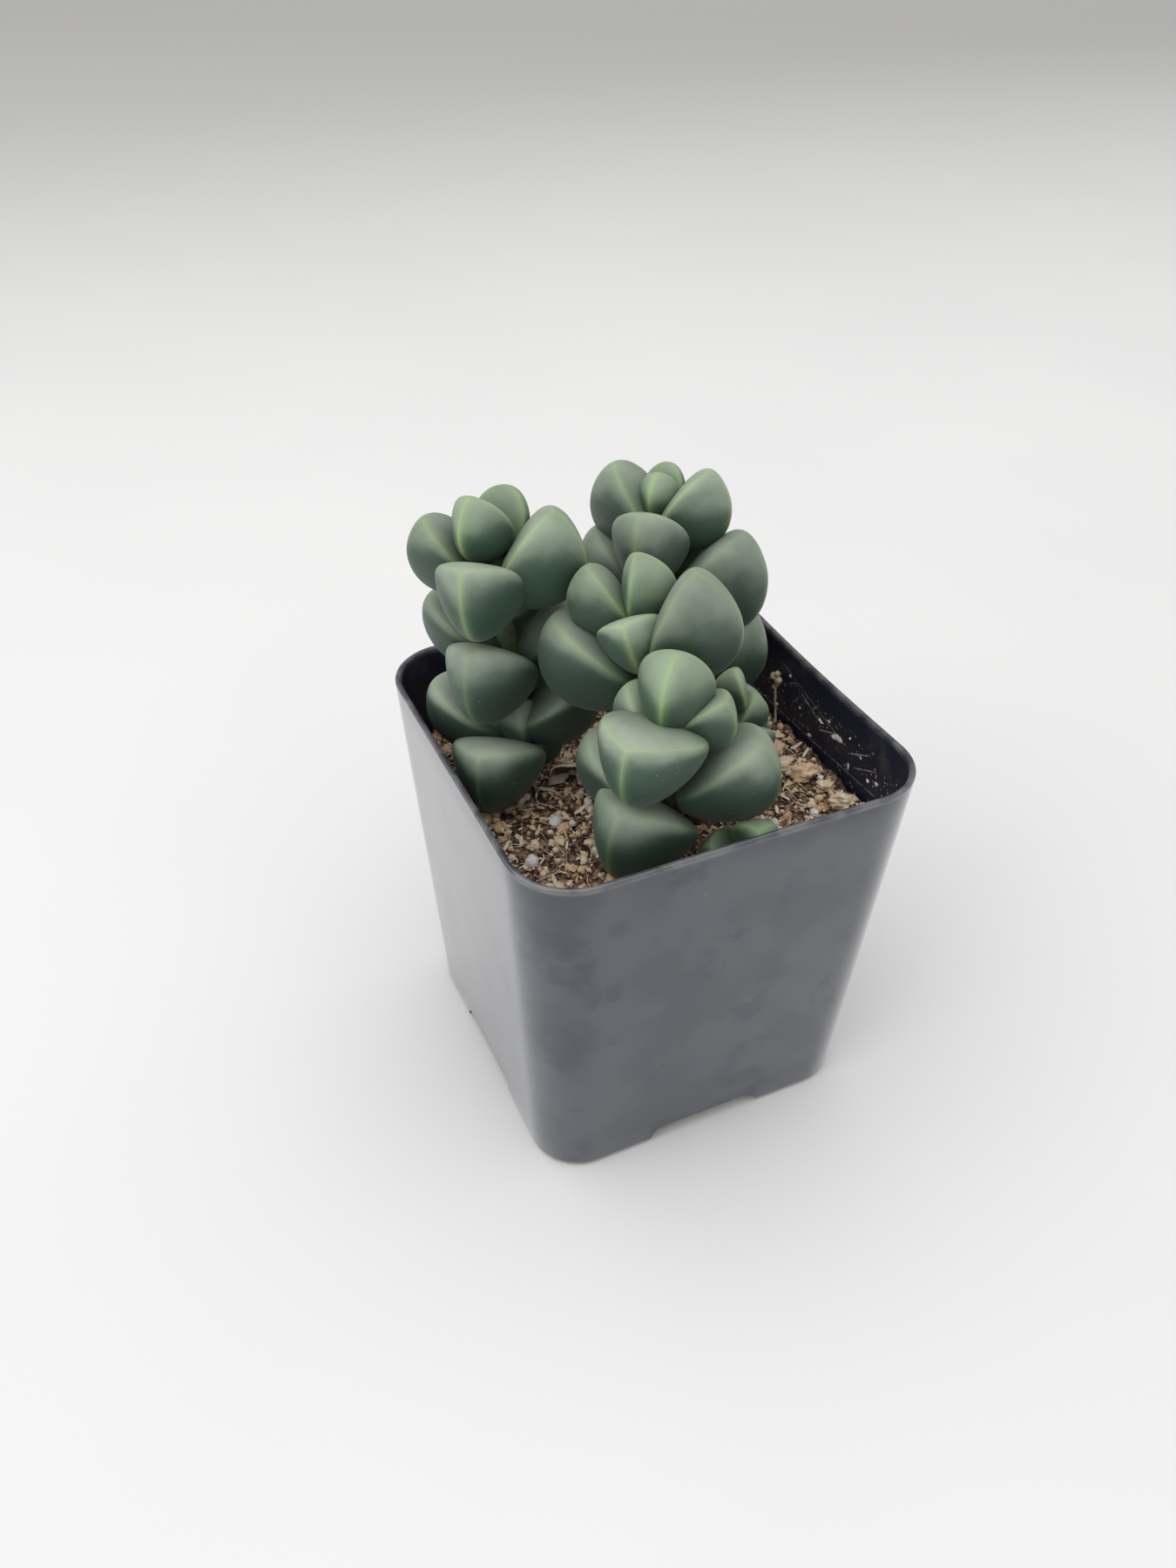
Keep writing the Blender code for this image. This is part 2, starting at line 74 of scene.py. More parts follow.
Color = tuple[float, float, float]
Triple = tuple[float, float, float]
Span = tuple[float, float]
Ramp = tuple[float, float, float, float]
Value = Union["Wire", float, Color]


class Wire:
    """A shader socket whose arithmetic adds Math nodes."""

    def __init__(self, tree: bpy.types.NodeTree, socket: bpy.types.NodeSocket) -> None:
        """Hold a socket and the node tree that it is in."""
        self.tree = tree
        self.socket = socket

    def _math(self, operation: str, *values: Value) -> "Wire":
        """Add one Math node.

        Args:
            operation: The node's operation.
            *values: Its inputs, as wires or numbers.

        Returns:
            The node's output.
        """
        node = self.tree.nodes.new("ShaderNodeMath")
        node.operation = operation
        for socket, value in zip(node.inputs, values):
            plug(self.tree, socket, value)
        return Wire(self.tree, node.outputs[0])

    def __add__(self, other: Value) -> "Wire":
        """This plus other."""
        return self._math("ADD", self, other)

    def __radd__(self, other: Value) -> "Wire":
        """Other plus this."""
        return self._math("ADD", other, self)

    def __sub__(self, other: Value) -> "Wire":
        """This minus other."""
        return self._math("SUBTRACT", self, other)

    def __rsub__(self, other: Value) -> "Wire":
        """Other minus this."""
        return self._math("SUBTRACT", other, self)

    def __mul__(self, other: Value) -> "Wire":
        """This times other."""
        return self._math("MULTIPLY", self, other)

    def __rmul__(self, other: Value) -> "Wire":
        """Other times this."""
        return self._math("MULTIPLY", other, self)

    def __abs__(self) -> "Wire":
        """This without its sign."""
        return self._math("ABSOLUTE", self)

    def larger(self, other: Value) -> "Wire":
        """The larger of this and other."""
        return self._math("MAXIMUM", self, other)


def plug(tree: bpy.types.NodeTree, socket: bpy.types.NodeSocket, value: Value) -> None:
    """Set a socket or link a wire to it.

    Args:
        tree: The node tree.
        socket: The input to feed.
        value: A wire, a number, or a colour or vector of three numbers.
    """
    if isinstance(value, Wire):
        tree.links.new(value.socket, socket)
    elif socket.type == "RGBA":
        socket.default_value = (*value, 1.0)
    else:
        socket.default_value = value


class Grain(Enum):
    """How fine a noise goes: its layers of detail, and how strong the finer ones are."""

    BLURRED = (1.0, 0.5)
    SOFT = (2.0, 0.5)
    PLAIN = (3.0, 0.5)
    FINE = (4.0, 0.5)
    DUSTY = (4.0, 0.7)
    FIBROUS = (5.0, 0.65)
    RAGGED = (5.0, 0.7)


@dataclass(frozen=True)
class Spots:
    """A scatter of spots: their size, the values where they begin and are full, and their grain."""

    size: float
    begin: float
    full: float
    grain: Grain = Grain.PLAIN


class Painter:
    """The nodes of one material."""

    def __init__(self, name: str) -> None:
        """Start an empty node material of that name.

        Args:
            name: The material's name.
        """
        self.material = bpy.data.materials.new(name)
        self.material.use_nodes = True
        self.tree = self.material.node_tree
        self.tree.nodes.clear()

    def add(self, kind: str, settings: dict | None = None, inputs: dict | None = None,
            output: int | str = 0) -> Wire:
        """Add any node.

        Args:
            kind: The node's type.
            settings: Its own values, set first; "stops" fills a colour ramp.
            inputs: Values or wires by socket name or number.
            output: The name or number of the socket to return.

        Returns:
            The chosen output.
        """
        node = self.tree.nodes.new(kind)
        for key, value in (settings or {}).items():
            if key == "stops":
                fill_ramp(node.color_ramp, value)
            else:
                setattr(node, key, value)
        for key, value in (inputs or {}).items():
            plug(self.tree, node.inputs[key], value)
        return Wire(self.tree, node.outputs[output])

    def place(self) -> Wire:
        """The point's place in the frame, in metres."""
        return self.add("ShaderNodeTexCoord", output="Object")

    def axes(self, vector: Wire) -> tuple[Wire, Wire, Wire]:
        """The X, Y and Z of a vector."""
        node = self.add("ShaderNodeSeparateXYZ", inputs={0: vector}).socket.node
        return tuple(Wire(self.tree, socket) for socket in node.outputs)

    def facing(self) -> tuple[Wire, Wire, Wire]:
        """The X, Y and Z of the way that the surface faces."""
        return self.axes(self.add("ShaderNodeNewGeometry", output="Normal"))

    def values_of(self, *names: str) -> tuple[Wire, ...]:
        """Numbers that the mesh keeps for each point."""
        return tuple(self.add("ShaderNodeAttribute", {"attribute_name": name}, output="Fac")
                     for name in names)

    def noise(self, size: float, grain: Grain = Grain.PLAIN) -> Wire:
        """Noise from 0 to 1 whose patches have that size.

        Args:
            size: How wide its patches are, in metres.
            grain: How fine it goes.

        Returns:
            The noise.
        """
        detail, roughness = grain.value
        inputs = {"Vector": self.place(), "Scale": 1.0 / size, "Detail": detail,
                  "Roughness": roughness}
        return self.add("ShaderNodeTexNoise", inputs=inputs)

    def cells(self, size: float) -> Wire:
        """The distance to the middle of the nearest cell of that size."""
        return self.add("ShaderNodeTexVoronoi", inputs={"Vector": self.place(), "Scale": 1.0 / size})

    def rise(self, value: Value, low: float, high: float, start: float = 0.0,
             end: float = 1.0) -> Wire:
        """Map low to start and high to end, smoothly, and hold the ends."""
        inputs = {"Value": value, "From Min": low, "From Max": high, "To Min": start, "To Max": end}
        settings = {"interpolation_type": "SMOOTHSTEP", "clamp": True}
        return self.add("ShaderNodeMapRange", settings, inputs)

    def spots(self, spots: Spots) -> Wire:
        """Where a noise is between the spots' values, from 0 to 1."""
        return self.rise(self.noise(spots.size, spots.grain), spots.begin, spots.full)

    def dots(self, dots: Spots) -> Wire:
        """Round dots in the middle of each cell, from 0 to 1."""
        return self.rise(self.cells(dots.size), dots.begin, dots.full)

    def mix(self, first: Value, second: Value, share: Value, blend: str = "MIX") -> Wire:
        """Mix two colours by a share, with one of the Mix node's blends."""
        settings = {"data_type": "RGBA", "blend_type": blend, "clamp_factor": True}
        return self.add("ShaderNodeMix", settings, {0: share, 6: first, 7: second}, 2)

    def bump(self, height: Value, distance: float, strength: float = 1.0,
             normal: Wire | None = None) -> Wire:
        """A bumped normal.

        Args:
            height: The relief, from 0 to 1.
            distance: How deep it is, in metres.
            strength: How much of it shows.
            normal: A normal to start from.

        Returns:
            The normal.
        """
        inputs = {"Height": height, "Distance": distance, "Strength": strength}
        if normal:
            inputs["Normal"] = normal
        return self.add("ShaderNodeBump", inputs=inputs)

    def finish(self, **inputs: Value) -> bpy.types.Material:
        """Close the material with a Principled shader.

        Args:
            **inputs: Its sockets, with underscores for the spaces in their names.

        Returns:
            The material.
        """
        named = {key.replace("_", " "): value for key, value in inputs.items()}
        shader = self.add("ShaderNodeBsdfPrincipled", inputs=named)
        end = self.tree.nodes.new("ShaderNodeOutputMaterial")
        plug(self.tree, end.inputs["Surface"], shader)
        return self.material


def fill_ramp(ramp: bpy.types.ColorRamp, stops: Sequence[tuple[float, Color]]) -> None:
    """Give a colour ramp its stops, in order.

    Args:
        ramp: The node's ramp.
        stops: Position and colour of each stop.
    """
    while len(ramp.elements) < len(stops):
        ramp.elements.new(0.5)
    for element, (position, color) in zip(ramp.elements, stops):
        element.position = position
        element.color = (*color, 1.0)


@dataclass(frozen=True)
class LeafSkin:
    """Satin waxy leaf skin: grey green where painted top light falls on the up-facing parts, painted
    shade of deep green on the undersides, at the leaf bases and low down, glowing softly at its edges.
    """

    # The colour of painted shade, on the undersides, the leaf bases and low down.
    deep: Color = (0.016, 0.048, 0.030)
    body: Color = (0.098, 0.148, 0.108)
    # Waxy grey green, shown only where painted top light falls on the up-facing parts.
    bloom_and_top_light: Color = (0.325, 0.385, 0.300)
    young: Color = (0.205, 0.340, 0.150)
    line: Color = (0.330, 0.480, 0.190)
    blush: Color = (0.420, 0.330, 0.180)
    scuff: Color = (0.480, 0.530, 0.470)
    patch_size: float = 5.0 * MM
    patch_sway: float = 0.4
    pore_size: float = 0.30 * MM
    lit_facing: Span = (-0.20, 1.00)
    bloom_by_patch: Ramp = (0.25, 0.75, 0.65, 1.0)
    young_by_age: Span = (0.30, 0.0)
    young_share: float = 0.20
    shade_by_base: Ramp = (0.0, 0.90, 0.95, 0.0)
    deep_by_shade: Ramp = (0.50, 0.0, 0.0, 0.80)
    heart_by_base: Span = (0.75, 0.25)
    heart_by_age: Span = (0.6, 0.0)
    heart_share: float = 0.5
    low_shade_heights: Span = (70.0 * MM, 56.0 * MM)
    low_shade_share: float = 0.40
    line_by_age: Ramp = (0.7, 0.0, 0.30, 1.0)
    line_by_reach: Ramp = (0.05, 0.75, 0.30, 1.0)
    line_by_patch: Ramp = (0.25, 0.6, 0.15, 0.48)
    blushes: Spots = Spots(9.0 * MM, 0.52, 0.70, Grain.BLURRED)
    blush_share: float = 0.35
    glow_share: float = 0.30
    specks: Spots = Spots(0.9 * MM, 0.14, 0.06)
    speck_fields: Spots = Spots(2.2 * MM, 0.60, 0.66, Grain.BLURRED)
    marks: Spots = Spots(2.6 * MM, 0.66, 0.76, Grain.RAGGED)
    mark_patches: Span = (0.50, 0.62)
    mark_share: float = 0.55
    scuff_share: float = 0.45
    shade_by_tint: Ramp = (0.0, 1.0, 0.86, 1.10)
    gloss_by_patch: Ramp = (0.3, 0.7, 0.46, 0.56)
    ridge_gloss: float = 0.05
    glow_depth: float = 1.2 * MM
    pore_bump: Span = (0.010 * MM, 0.5)
    patch_bump: Span = (0.10 * MM, 0.7)

    def paint(self) -> bpy.types.Material:
        """The leaf material, which reads the numbers that each leaf's points keep.

        Returns:
            The material.
        """
        p = Painter("glaucous_leaf_skin")
        along, ridge, glow, age, inner, tint = p.values_of("along", "ridge", "glow", "age", "inner",
                                                           "tint")
        height = p.axes(p.place())[2]
        patches = p.noise(self.patch_size)
        # Painted top light: the up-facing parts take the waxy grey green, the rest keeps the body
        # colour.
        lit = p.rise(p.facing()[2] + (patches - 0.5) * self.patch_sway, *self.lit_facing)
        color = p.mix(self.body, self.bloom_and_top_light, lit * p.rise(patches, *self.bloom_by_patch))
        color = p.mix(color, self.young, p.rise(age, *self.young_by_age) * self.young_share)
        # Painted shade: deep green darkening each leaf towards its base, where the leaves crowd the
        # stem, and on its down-facing parts.
        depth = p.rise(along, *self.shade_by_base).larger(p.rise(lit, *self.deep_by_shade))
        color = p.mix(color, self.deep, depth)
        heart = inner * p.rise(along, *self.heart_by_base) * p.rise(age, *self.heart_by_age)
        color = p.mix(color, self.young, heart * self.heart_share)
        # Painted shade: deep green low down, near the soil.
        color = p.mix(color, self.deep, p.rise(height, *self.low_shade_heights) * self.low_shade_share)
        strong = p.rise(age, *self.line_by_age) * p.rise(along, *self.line_by_reach)
        line_color = p.mix(self.line, self.blush, p.spots(self.blushes) * self.blush_share)
        color = p.mix(color, line_color, glow * strong * self.glow_share)
        color = p.mix(color, line_color, ridge * strong * p.rise(patches, *self.line_by_patch))
        specks = p.dots(self.specks) * p.spots(self.speck_fields)
        marks = p.spots(self.marks) * p.rise(patches, *self.mark_patches)
        color = p.mix(color, self.scuff, specks.larger(marks * self.mark_share) * self.scuff_share)
        shade = p.rise(tint, *self.shade_by_tint)
        color = p.mix(color, p.add("ShaderNodeCombineColor", inputs={0: shade, 1: shade, 2: shade}),
                      1.0, "MULTIPLY")
        pores = p.bump(p.noise(self.pore_size, Grain.SOFT), *self.pore_bump)
        rough = p.rise(patches, *self.gloss_by_patch) - ridge * self.ridge_gloss
        normal = p.bump(patches, *self.patch_bump, pores)
        return p.finish(Base_Color=color, Roughness=rough, Normal=normal, IOR=1.42,
                        Subsurface_Weight=0.15, Subsurface_Radius=(0.6, 1.0, 0.35),
                        Subsurface_Scale=self.glow_depth, Sheen_Weight=0.10, Sheen_Roughness=0.45)


@dataclass(frozen=True)
class StemBark:
    """Green to woody stem skin with rings of old leaf scars."""

    green: Color = (0.110, 0.140, 0.075)
    wood: Color = (0.150, 0.095, 0.055)
    scar: Color = (0.060, 0.040, 0.028)
    fibre_size: float = 1.2 * MM
    fibre_sway: float = 0.4
    green_from: Span = (0.45, 0.95)
    scarred: Span = (0.52, 0.70)
    scar_share: float = 0.8
    fibre_depth: float = 0.25 * MM

    def paint(self) -> bpy.types.Material:
        """The stem material, which reads the share of height along the stem.

        Returns:
            The material.
        """
        p = Painter("stem_bark")
        along, = p.values_of("along")
        fibre = p.noise(self.fibre_size, Grain.FIBROUS)
        color = p.mix(self.wood, self.green, p.rise(along + fibre * self.fibre_sway, *self.green_from))
        color = p.mix(color, self.scar, p.rise(fibre, *self.scarred) * self.scar_share)
        return p.finish(Base_Color=color, Roughness=0.75, Normal=p.bump(fibre, self.fibre_depth))


@dataclass(frozen=True)
class Scratch:
    """A thin scratch on the right wall: the Y and Z of its ends in millimetres, width and strength."""

    y1: float
    z1: float
    y2: float
    z2: float
    width: float
    strength: float
    end_fade: float = 0.3 * MM
    core_share: float = 0.4

    def mark(self, p: Painter, y: Wire, z: Wire) -> Wire:
        """How much of the scratch shows at a point of that Y and Z.

        Args:
            p: The painter of the material.
            y: The point's Y.
            z: The point's Z.

        Returns:
            The share that shows, from 0 to 1.
        """
        slope = (self.z2 - self.z1) / (self.y2 - self.y1)
        line = z - (y - self.y1 * MM) * slope - self.z1 * MM
        wide = self.width * MM * math.hypot(1.0, slope)
        middle, half = (self.y1 + self.y2) / 2 * MM, abs(self.y2 - self.y1) / 2 * MM
        ends = p.rise(abs(y - middle), half + self.end_fade, half - self.end_fade)
        return p.rise(abs(line), wide, self.core_share * wide) * ends * self.strength


@dataclass(frozen=True)
class PotPlastic:
    """Thin dark slate plastic: satin, clouded, dusty, with dried water marks and painted shade inside.
    """

    dark: Color = (0.014, 0.018, 0.036)
    cloud: Color = (0.034, 0.039, 0.058)
    navy: Color = (0.002, 0.005, 0.024)
    # Darker navy painted inside the pot as shade.
    inside: Color = (0.005, 0.009, 0.030)
    worn: Color = (0.130, 0.130, 0.135)
    mineral: Color = (0.520, 0.500, 0.450)
    facing_in: Span = (0.002, -0.002)
    above_floor: Span = (1.0 * MM, 2.0 * MM)
    rim_heights: Span = (64.9 * MM, 65.5 * MM)
    right_wall: Span = (28.0 * MM, 29.0 * MM)
    cloud_size: float = 14.0 * MM
    clouded: Span = (0.38, 0.60)
    dust_size: float = 0.5 * MM
    dusty: Span = (0.60, 0.75)
    dust_share: float = 0.08
    blots: Spots = Spots(10.0 * MM, 0.50, 0.64, Grain.BLURRED)
    blot_edges: Spots = Spots(4.0 * MM, 0.40, 0.60, Grain.SOFT)
    blot_share: float = 0.85
    foot_heights: Span = (9.0 * MM, 1.5 * MM)
    foot_share: float = 0.35
    rim_wear_size: float = 3.0 * MM
    rim_wear: Ramp = (0.35, 0.65, 0.25, 0.95)
    specks: Spots = Spots(2.4 * MM, 0.085, 0.045)
    speck_fields: Spots = Spots(7.0 * MM, 0.54, 0.62, Grain.SOFT)
    speck_share: float = 0.8
    splash_heights: Span = (7.0 * MM, 2.0 * MM)
    splashes: Spots = Spots(0.9 * MM, 0.60, 0.68)
    splash_share: float = 0.6
    crumbs: Spots = Spots(0.8 * MM, 0.32, 0.14)
    crumb_heights: Span = (64.0 * MM, 59.0 * MM)
    crumb_fields: Spots = Spots(2.4 * MM, 0.42, 0.54, Grain.SOFT)
    crumb_share: float = 0.9
    broken: Spots = Spots(0.7 * MM, 0.38, 0.52, Grain.DUSTY)
    hazes: Spots = Spots(6.0 * MM, 0.52, 0.72, Grain.FIBROUS)
    haze_share: float = 0.06
    gloss_by_cloud: Ramp = (0.35, 0.65, 0.15, 0.23)
    inner_dullness: float = 0.30
    mark_dullness: float = 0.3
    coat: float = 0.95
    swell_size: float = 12.0 * MM
    swell_bump: Span = (0.12 * MM, 0.3)
    grain_size: float = 0.35 * MM
    grain_bump: Span = (0.004 * MM, 0.5)
    scratches: tuple[Scratch, ...] = (
        Scratch(17.3, 53.3, -20.1, 55.0, 0.10, 0.7), Scratch(3.2, 60.6, -3.4, 58.6, 0.14, 1.0),
        Scratch(-0.6, 58.4, -2.4, 60.8, 0.12, 0.9), Scratch(8.4, 62.4, -9.5, 58.9, 0.10, 0.6),
        Scratch(-4.0, 57.2, -9.0, 59.4, 0.16, 0.8), Scratch(-12.0, 57.9, -16.5, 60.4, 0.14, 0.9),
        Scratch(-14.0, 56.4, -19.0, 59.0, 0.12, 0.7), Scratch(10.6, 57.0, 4.2, 61.2, 0.10, 0.5))

    def paint(self) -> bpy.types.Material:
        """The pot material, which tells inside and rim by place and facing.

        Returns:
            The material.
        """
        p = Painter("slate_plastic_shell")
        x, y, z = p.axes(p.place())
        face_x, face_y, _face_z = p.facing()
        inner = p.rise(face_x * x + face_y * y, *self.facing_in) * p.rise(z, *self.above_floor)
        rim = p.rise(z, *self.rim_heights)
        clouds = p.noise(self.cloud_size, Grain.SOFT)
        dust = p.noise(self.dust_size, Grain.DUSTY)
        color = p.mix(self.dark, self.cloud, p.rise(clouds, *self.clouded))
        blots = p.spots(self.blots) * p.spots(self.blot_edges)
        color = p.mix(color, self.navy, blots * self.blot_share)
        # Deeper navy towards the foot: the plastic is painted darker towards the bottom.
        color = p.mix(color, self.navy, p.rise(z, *self.foot_heights) * self.foot_share)
        # Painted shade: the inside of the pot is painted darker than the outside.
        color = p.mix(color, self.inside, inner)
        wear = p.rise(p.noise(self.rim_wear_size, Grain.FINE), *self.rim_wear)
        color = p.mix(color, self.worn, rim * wear)
        specks = p.dots(self.specks) * p.spots(self.speck_fields)
        splashes = p.rise(z, *self.splash_heights) * p.spots(self.splashes)
        specks = specks.larger(splashes * self.splash_share) * (1 - inner)
        color = p.mix(color, self.worn, specks * self.speck_share)
        wall = inner * p.rise(x, *self.right_wall) * (1 - rim)
        crumbs = p.dots(self.crumbs) * p.rise(z, *self.crumb_heights)
        marks = crumbs * p.spots(self.crumb_fields) * self.crumb_share
        for scratch in self.scratches:
            marks = marks.larger(scratch.mark(p, y, z))
        color = p.mix(color, self.mineral, wall * marks * p.spots(self.broken))
        color = p.mix(color, self.mineral, inner * p.spots(self.hazes) * self.haze_share)
        color = p.mix(color, self.worn, p.rise(dust, *self.dusty) * self.dust_share)
        rough = p.rise(clouds, *self.gloss_by_cloud) + inner * self.inner_dullness
        rough += wall * marks * self.mark_dullness
        normal = p.bump(p.noise(self.swell_size, Grain.BLURRED), *self.swell_bump)
        normal = p.bump(p.noise(self.grain_size, Grain.SOFT), *self.grain_bump, normal)
        return p.finish(Base_Color=color, Roughness=rough, Normal=normal, IOR=1.52,
                        Coat_Weight=(1 - inner) * self.coat, Coat_Roughness=0.09, Coat_IOR=1.50)


@dataclass(frozen=True)
class MixGround:
    """Dark damp ground between the crumbs."""

    dark: Color = (0.034, 0.020, 0.015)
    light: Color = (0.460, 0.300, 0.190)
    lump_size: float = 1.1 * MM
    light_lumps: Span = (0.42, 0.68)
    lump_depth: float = 0.5 * MM

    def paint(self) -> bpy.types.Material:
        """The ground's material.

        Returns:
            The material.
        """
        p = Painter("damp_mix_ground")
        lumps = p.noise(self.lump_size, Grain.FIBROUS)
        color = p.mix(self.dark, self.light, p.rise(lumps, *self.light_lumps))
        return p.finish(Base_Color=color, Roughness=0.95, Normal=p.bump(lumps, self.lump_depth))


@dataclass(frozen=True)
class CoirCrumb:
    """Coir and bark crumbs and fibres in browns and tans, one tone for each crumb."""

    stops: tuple[tuple[float, Color], ...] = (
        (0.00, (0.060, 0.030, 0.022)),
        (0.22, (0.220, 0.115, 0.070)),
        (0.46, (0.580, 0.350, 0.200)),
        (0.72, (0.850, 0.600, 0.370)),
        (1.00, (0.920, 0.800, 0.600)))
    streak_size: float = 0.45 * MM
    streak_sway: float = 1.25
    streak_depth: float = 0.12 * MM
    paler: float = 0.21

    def paint(self) -> bpy.types.Material:
        """The crumbs' material, which reads the tone of each.

        Returns:
            The material.
        """
        p = Painter("coir_crumb")
        streaks = p.noise(self.streak_size, Grain.DUSTY)
        tone = p.values_of("tone")[0] + (streaks - 0.5) * self.streak_sway + self.paler
        color = p.add("ShaderNodeValToRGB", {"stops": self.stops}, {0: tone})
        return p.finish(Base_Color=color, Roughness=0.88, Normal=p.bump(streaks, self.streak_depth))


@dataclass(frozen=True)
class PerliteGrain:
    """White foamed grains with small dark pores."""

    white: Color = (0.920, 0.900, 0.875)
    stain: Color = (0.420, 0.360, 0.300)
    stains: Spots = Spots(0.9 * MM, 0.52, 0.72, Grain.FINE)
    stain_share: float = 0.5
    pore_size: float = 0.40 * MM
    pore_depth: float = 0.15 * MM

    def paint(self) -> bpy.types.Material:
        """The grains' material.

        Returns:
            The material.
        """
        p = Painter("perlite_grain")
        color = p.mix(self.white, self.stain, p.spots(self.stains) * self.stain_share)
        normal = p.bump(p.cells(self.pore_size), self.pore_depth)
        return p.finish(Base_Color=color, Roughness=0.85, Normal=normal)


@dataclass(frozen=True)
class DrySkin:
    """Papery dead leaf skin: pale tan, with painted shade of dark brown where it faces down, as in its
    hollow.
    """

    name: str
    pale: Color
    # Both the colour of the veins and the colour of the painted shade.
    brown: Color
    vein_size: float = 0.8 * MM
    shade_facing: Span = (0.05, -0.40)
    shade_share: float = 0.9
    veined: Span = (0.45, 0.75)
    vein_share: float = 0.35
    vein_depth: float = 0.20 * MM

    def paint(self) -> bpy.types.Material:
        """The dry skin's material, with painted shade that browns it where it faces down.

        Returns:
            The material.
        """
        p = Painter(self.name)
        veins = p.noise(self.vein_size, Grain.RAGGED)
        # Painted shade: dark brown on the parts that face down.
        hollow = p.rise(p.facing()[2], *self.shade_facing) * self.shade_share
        color = p.mix(self.pale, self.brown, hollow + p.rise(veins, *self.veined) * self.vein_share)
        return p.finish(Base_Color=color, Roughness=0.70, Normal=p.bump(veins, self.vein_depth))


def link(form: bmesh.types.BMesh, name: str, materials: Sequence[bpy.types.Material],
         smooth: bool = True) -> bpy.types.Object:
    """Make a finished bmesh an object that rides on the body.

    Args:
        form: The mesh in the making, which is freed.
        name: The piece's name.
        materials: Its materials, in the order of its faces' numbers.
        smooth: Whether its faces are shaded smooth.

    Returns:
        The object.
    """
    mesh = shape(form, name)
    for material in materials:
        mesh.materials.append(material)
    if smooth:
        mesh.shade_smooth()
    piece = bpy.data.objects.new(name, mesh)
    bpy.context.scene.collection.objects.link(piece)
    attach(piece, BODY)
    return piece


def layer(form: bmesh.types.BMesh, name: str) -> bmesh.types.BMLayerItem:
    """The float layer of that name on a form's points, made if it is missing."""
    return form.verts.layers.float.get(name) or form.verts.layers.float.new(name)


def shape(form: bmesh.types.BMesh, name: str) -> bpy.types.Mesh:
    """Turn a bmesh into a mesh and free it.

    Args:
        form: The mesh in the making, which is freed.
        name: The mesh's name.

    Returns:
        The mesh.
    """
    mesh = bpy.data.meshes.new(name)
    form.to_mesh(mesh)
    form.free()
    return mesh


def add_copy(form: bmesh.types.BMesh, mesh: bpy.types.Mesh) -> list[bmesh.types.BMVert]:
    """Add a copy of a mesh to a form.

    Args:
        form: The mesh in the making.
        mesh: What is copied.

    Returns:
        The points of the copy.
    """
    start = len(form.verts)
    form.from_mesh(mesh, vertex_normals=False)
    form.verts.ensure_lookup_table()
    return form.verts[start:]


def cut(body: bmesh.types.BMesh, tools: Sequence[bmesh.types.BMesh]) -> bpy.types.Mesh:
    """Cut closed forms out of a closed form with one Boolean.

    Args:
        body: The form that is cut, which is freed.
        tools: The cutters, which are freed.

    Returns:
        The mesh that is left.
    """
    scene = bpy.context.scene
    group = bpy.data.collections.new("cutters")
    scene.collection.children.link(group)
    for tool in tools:
        group.objects.link(bpy.data.objects.new("cutter", shape(tool, "cutter")))
    item = bpy.data.objects.new("blank", shape(body, "blank"))
    scene.collection.objects.link(item)
    change = item.modifiers.new("cut", "BOOLEAN")
    change.operation = "DIFFERENCE"
    change.operand_type = "COLLECTION"
    change.collection = group
    result = bpy.data.meshes.new_from_object(item.evaluated_get(bpy.context.evaluated_depsgraph_get()))
    for used in [*group.objects, item]:
        bpy.data.objects.remove(used, do_unlink=True)
    bpy.data.collections.remove(group)
    return result


def ease(value: float, low: float, high: float) -> float:
    """Rise smoothly from 0 at low to 1 at high."""
    share = max(0.0, min(1.0, (value - low) / (high - low)))
    return share * share * (3 - 2 * share)


def wander(point: Vector, size: float, reach: float) -> Vector:
    """A soft random push of a point: noise patches of one size, up to a reach."""
    return noise.noise_vector(point / size) * reach


def relief(place: Vector, layers: Sequence[Span], base: float = 0.0) -> float:
    """A base with noise on top, from layers that each have a fineness and a strength."""
    return sum((strength * noise.noise(place * fineness) for fineness, strength in layers), base)


def offset_for(seed: int, step: float) -> Vector:
    """A place far off in the noise, one for each seed, so that no two shapes are alike."""
    return Vector((seed * step, 0, 0))


class Side(Enum):
    """Which leaf of a pair: the one on the pair's own bearing, or the one facing it."""

    FRONT = 0
    BACK = 180


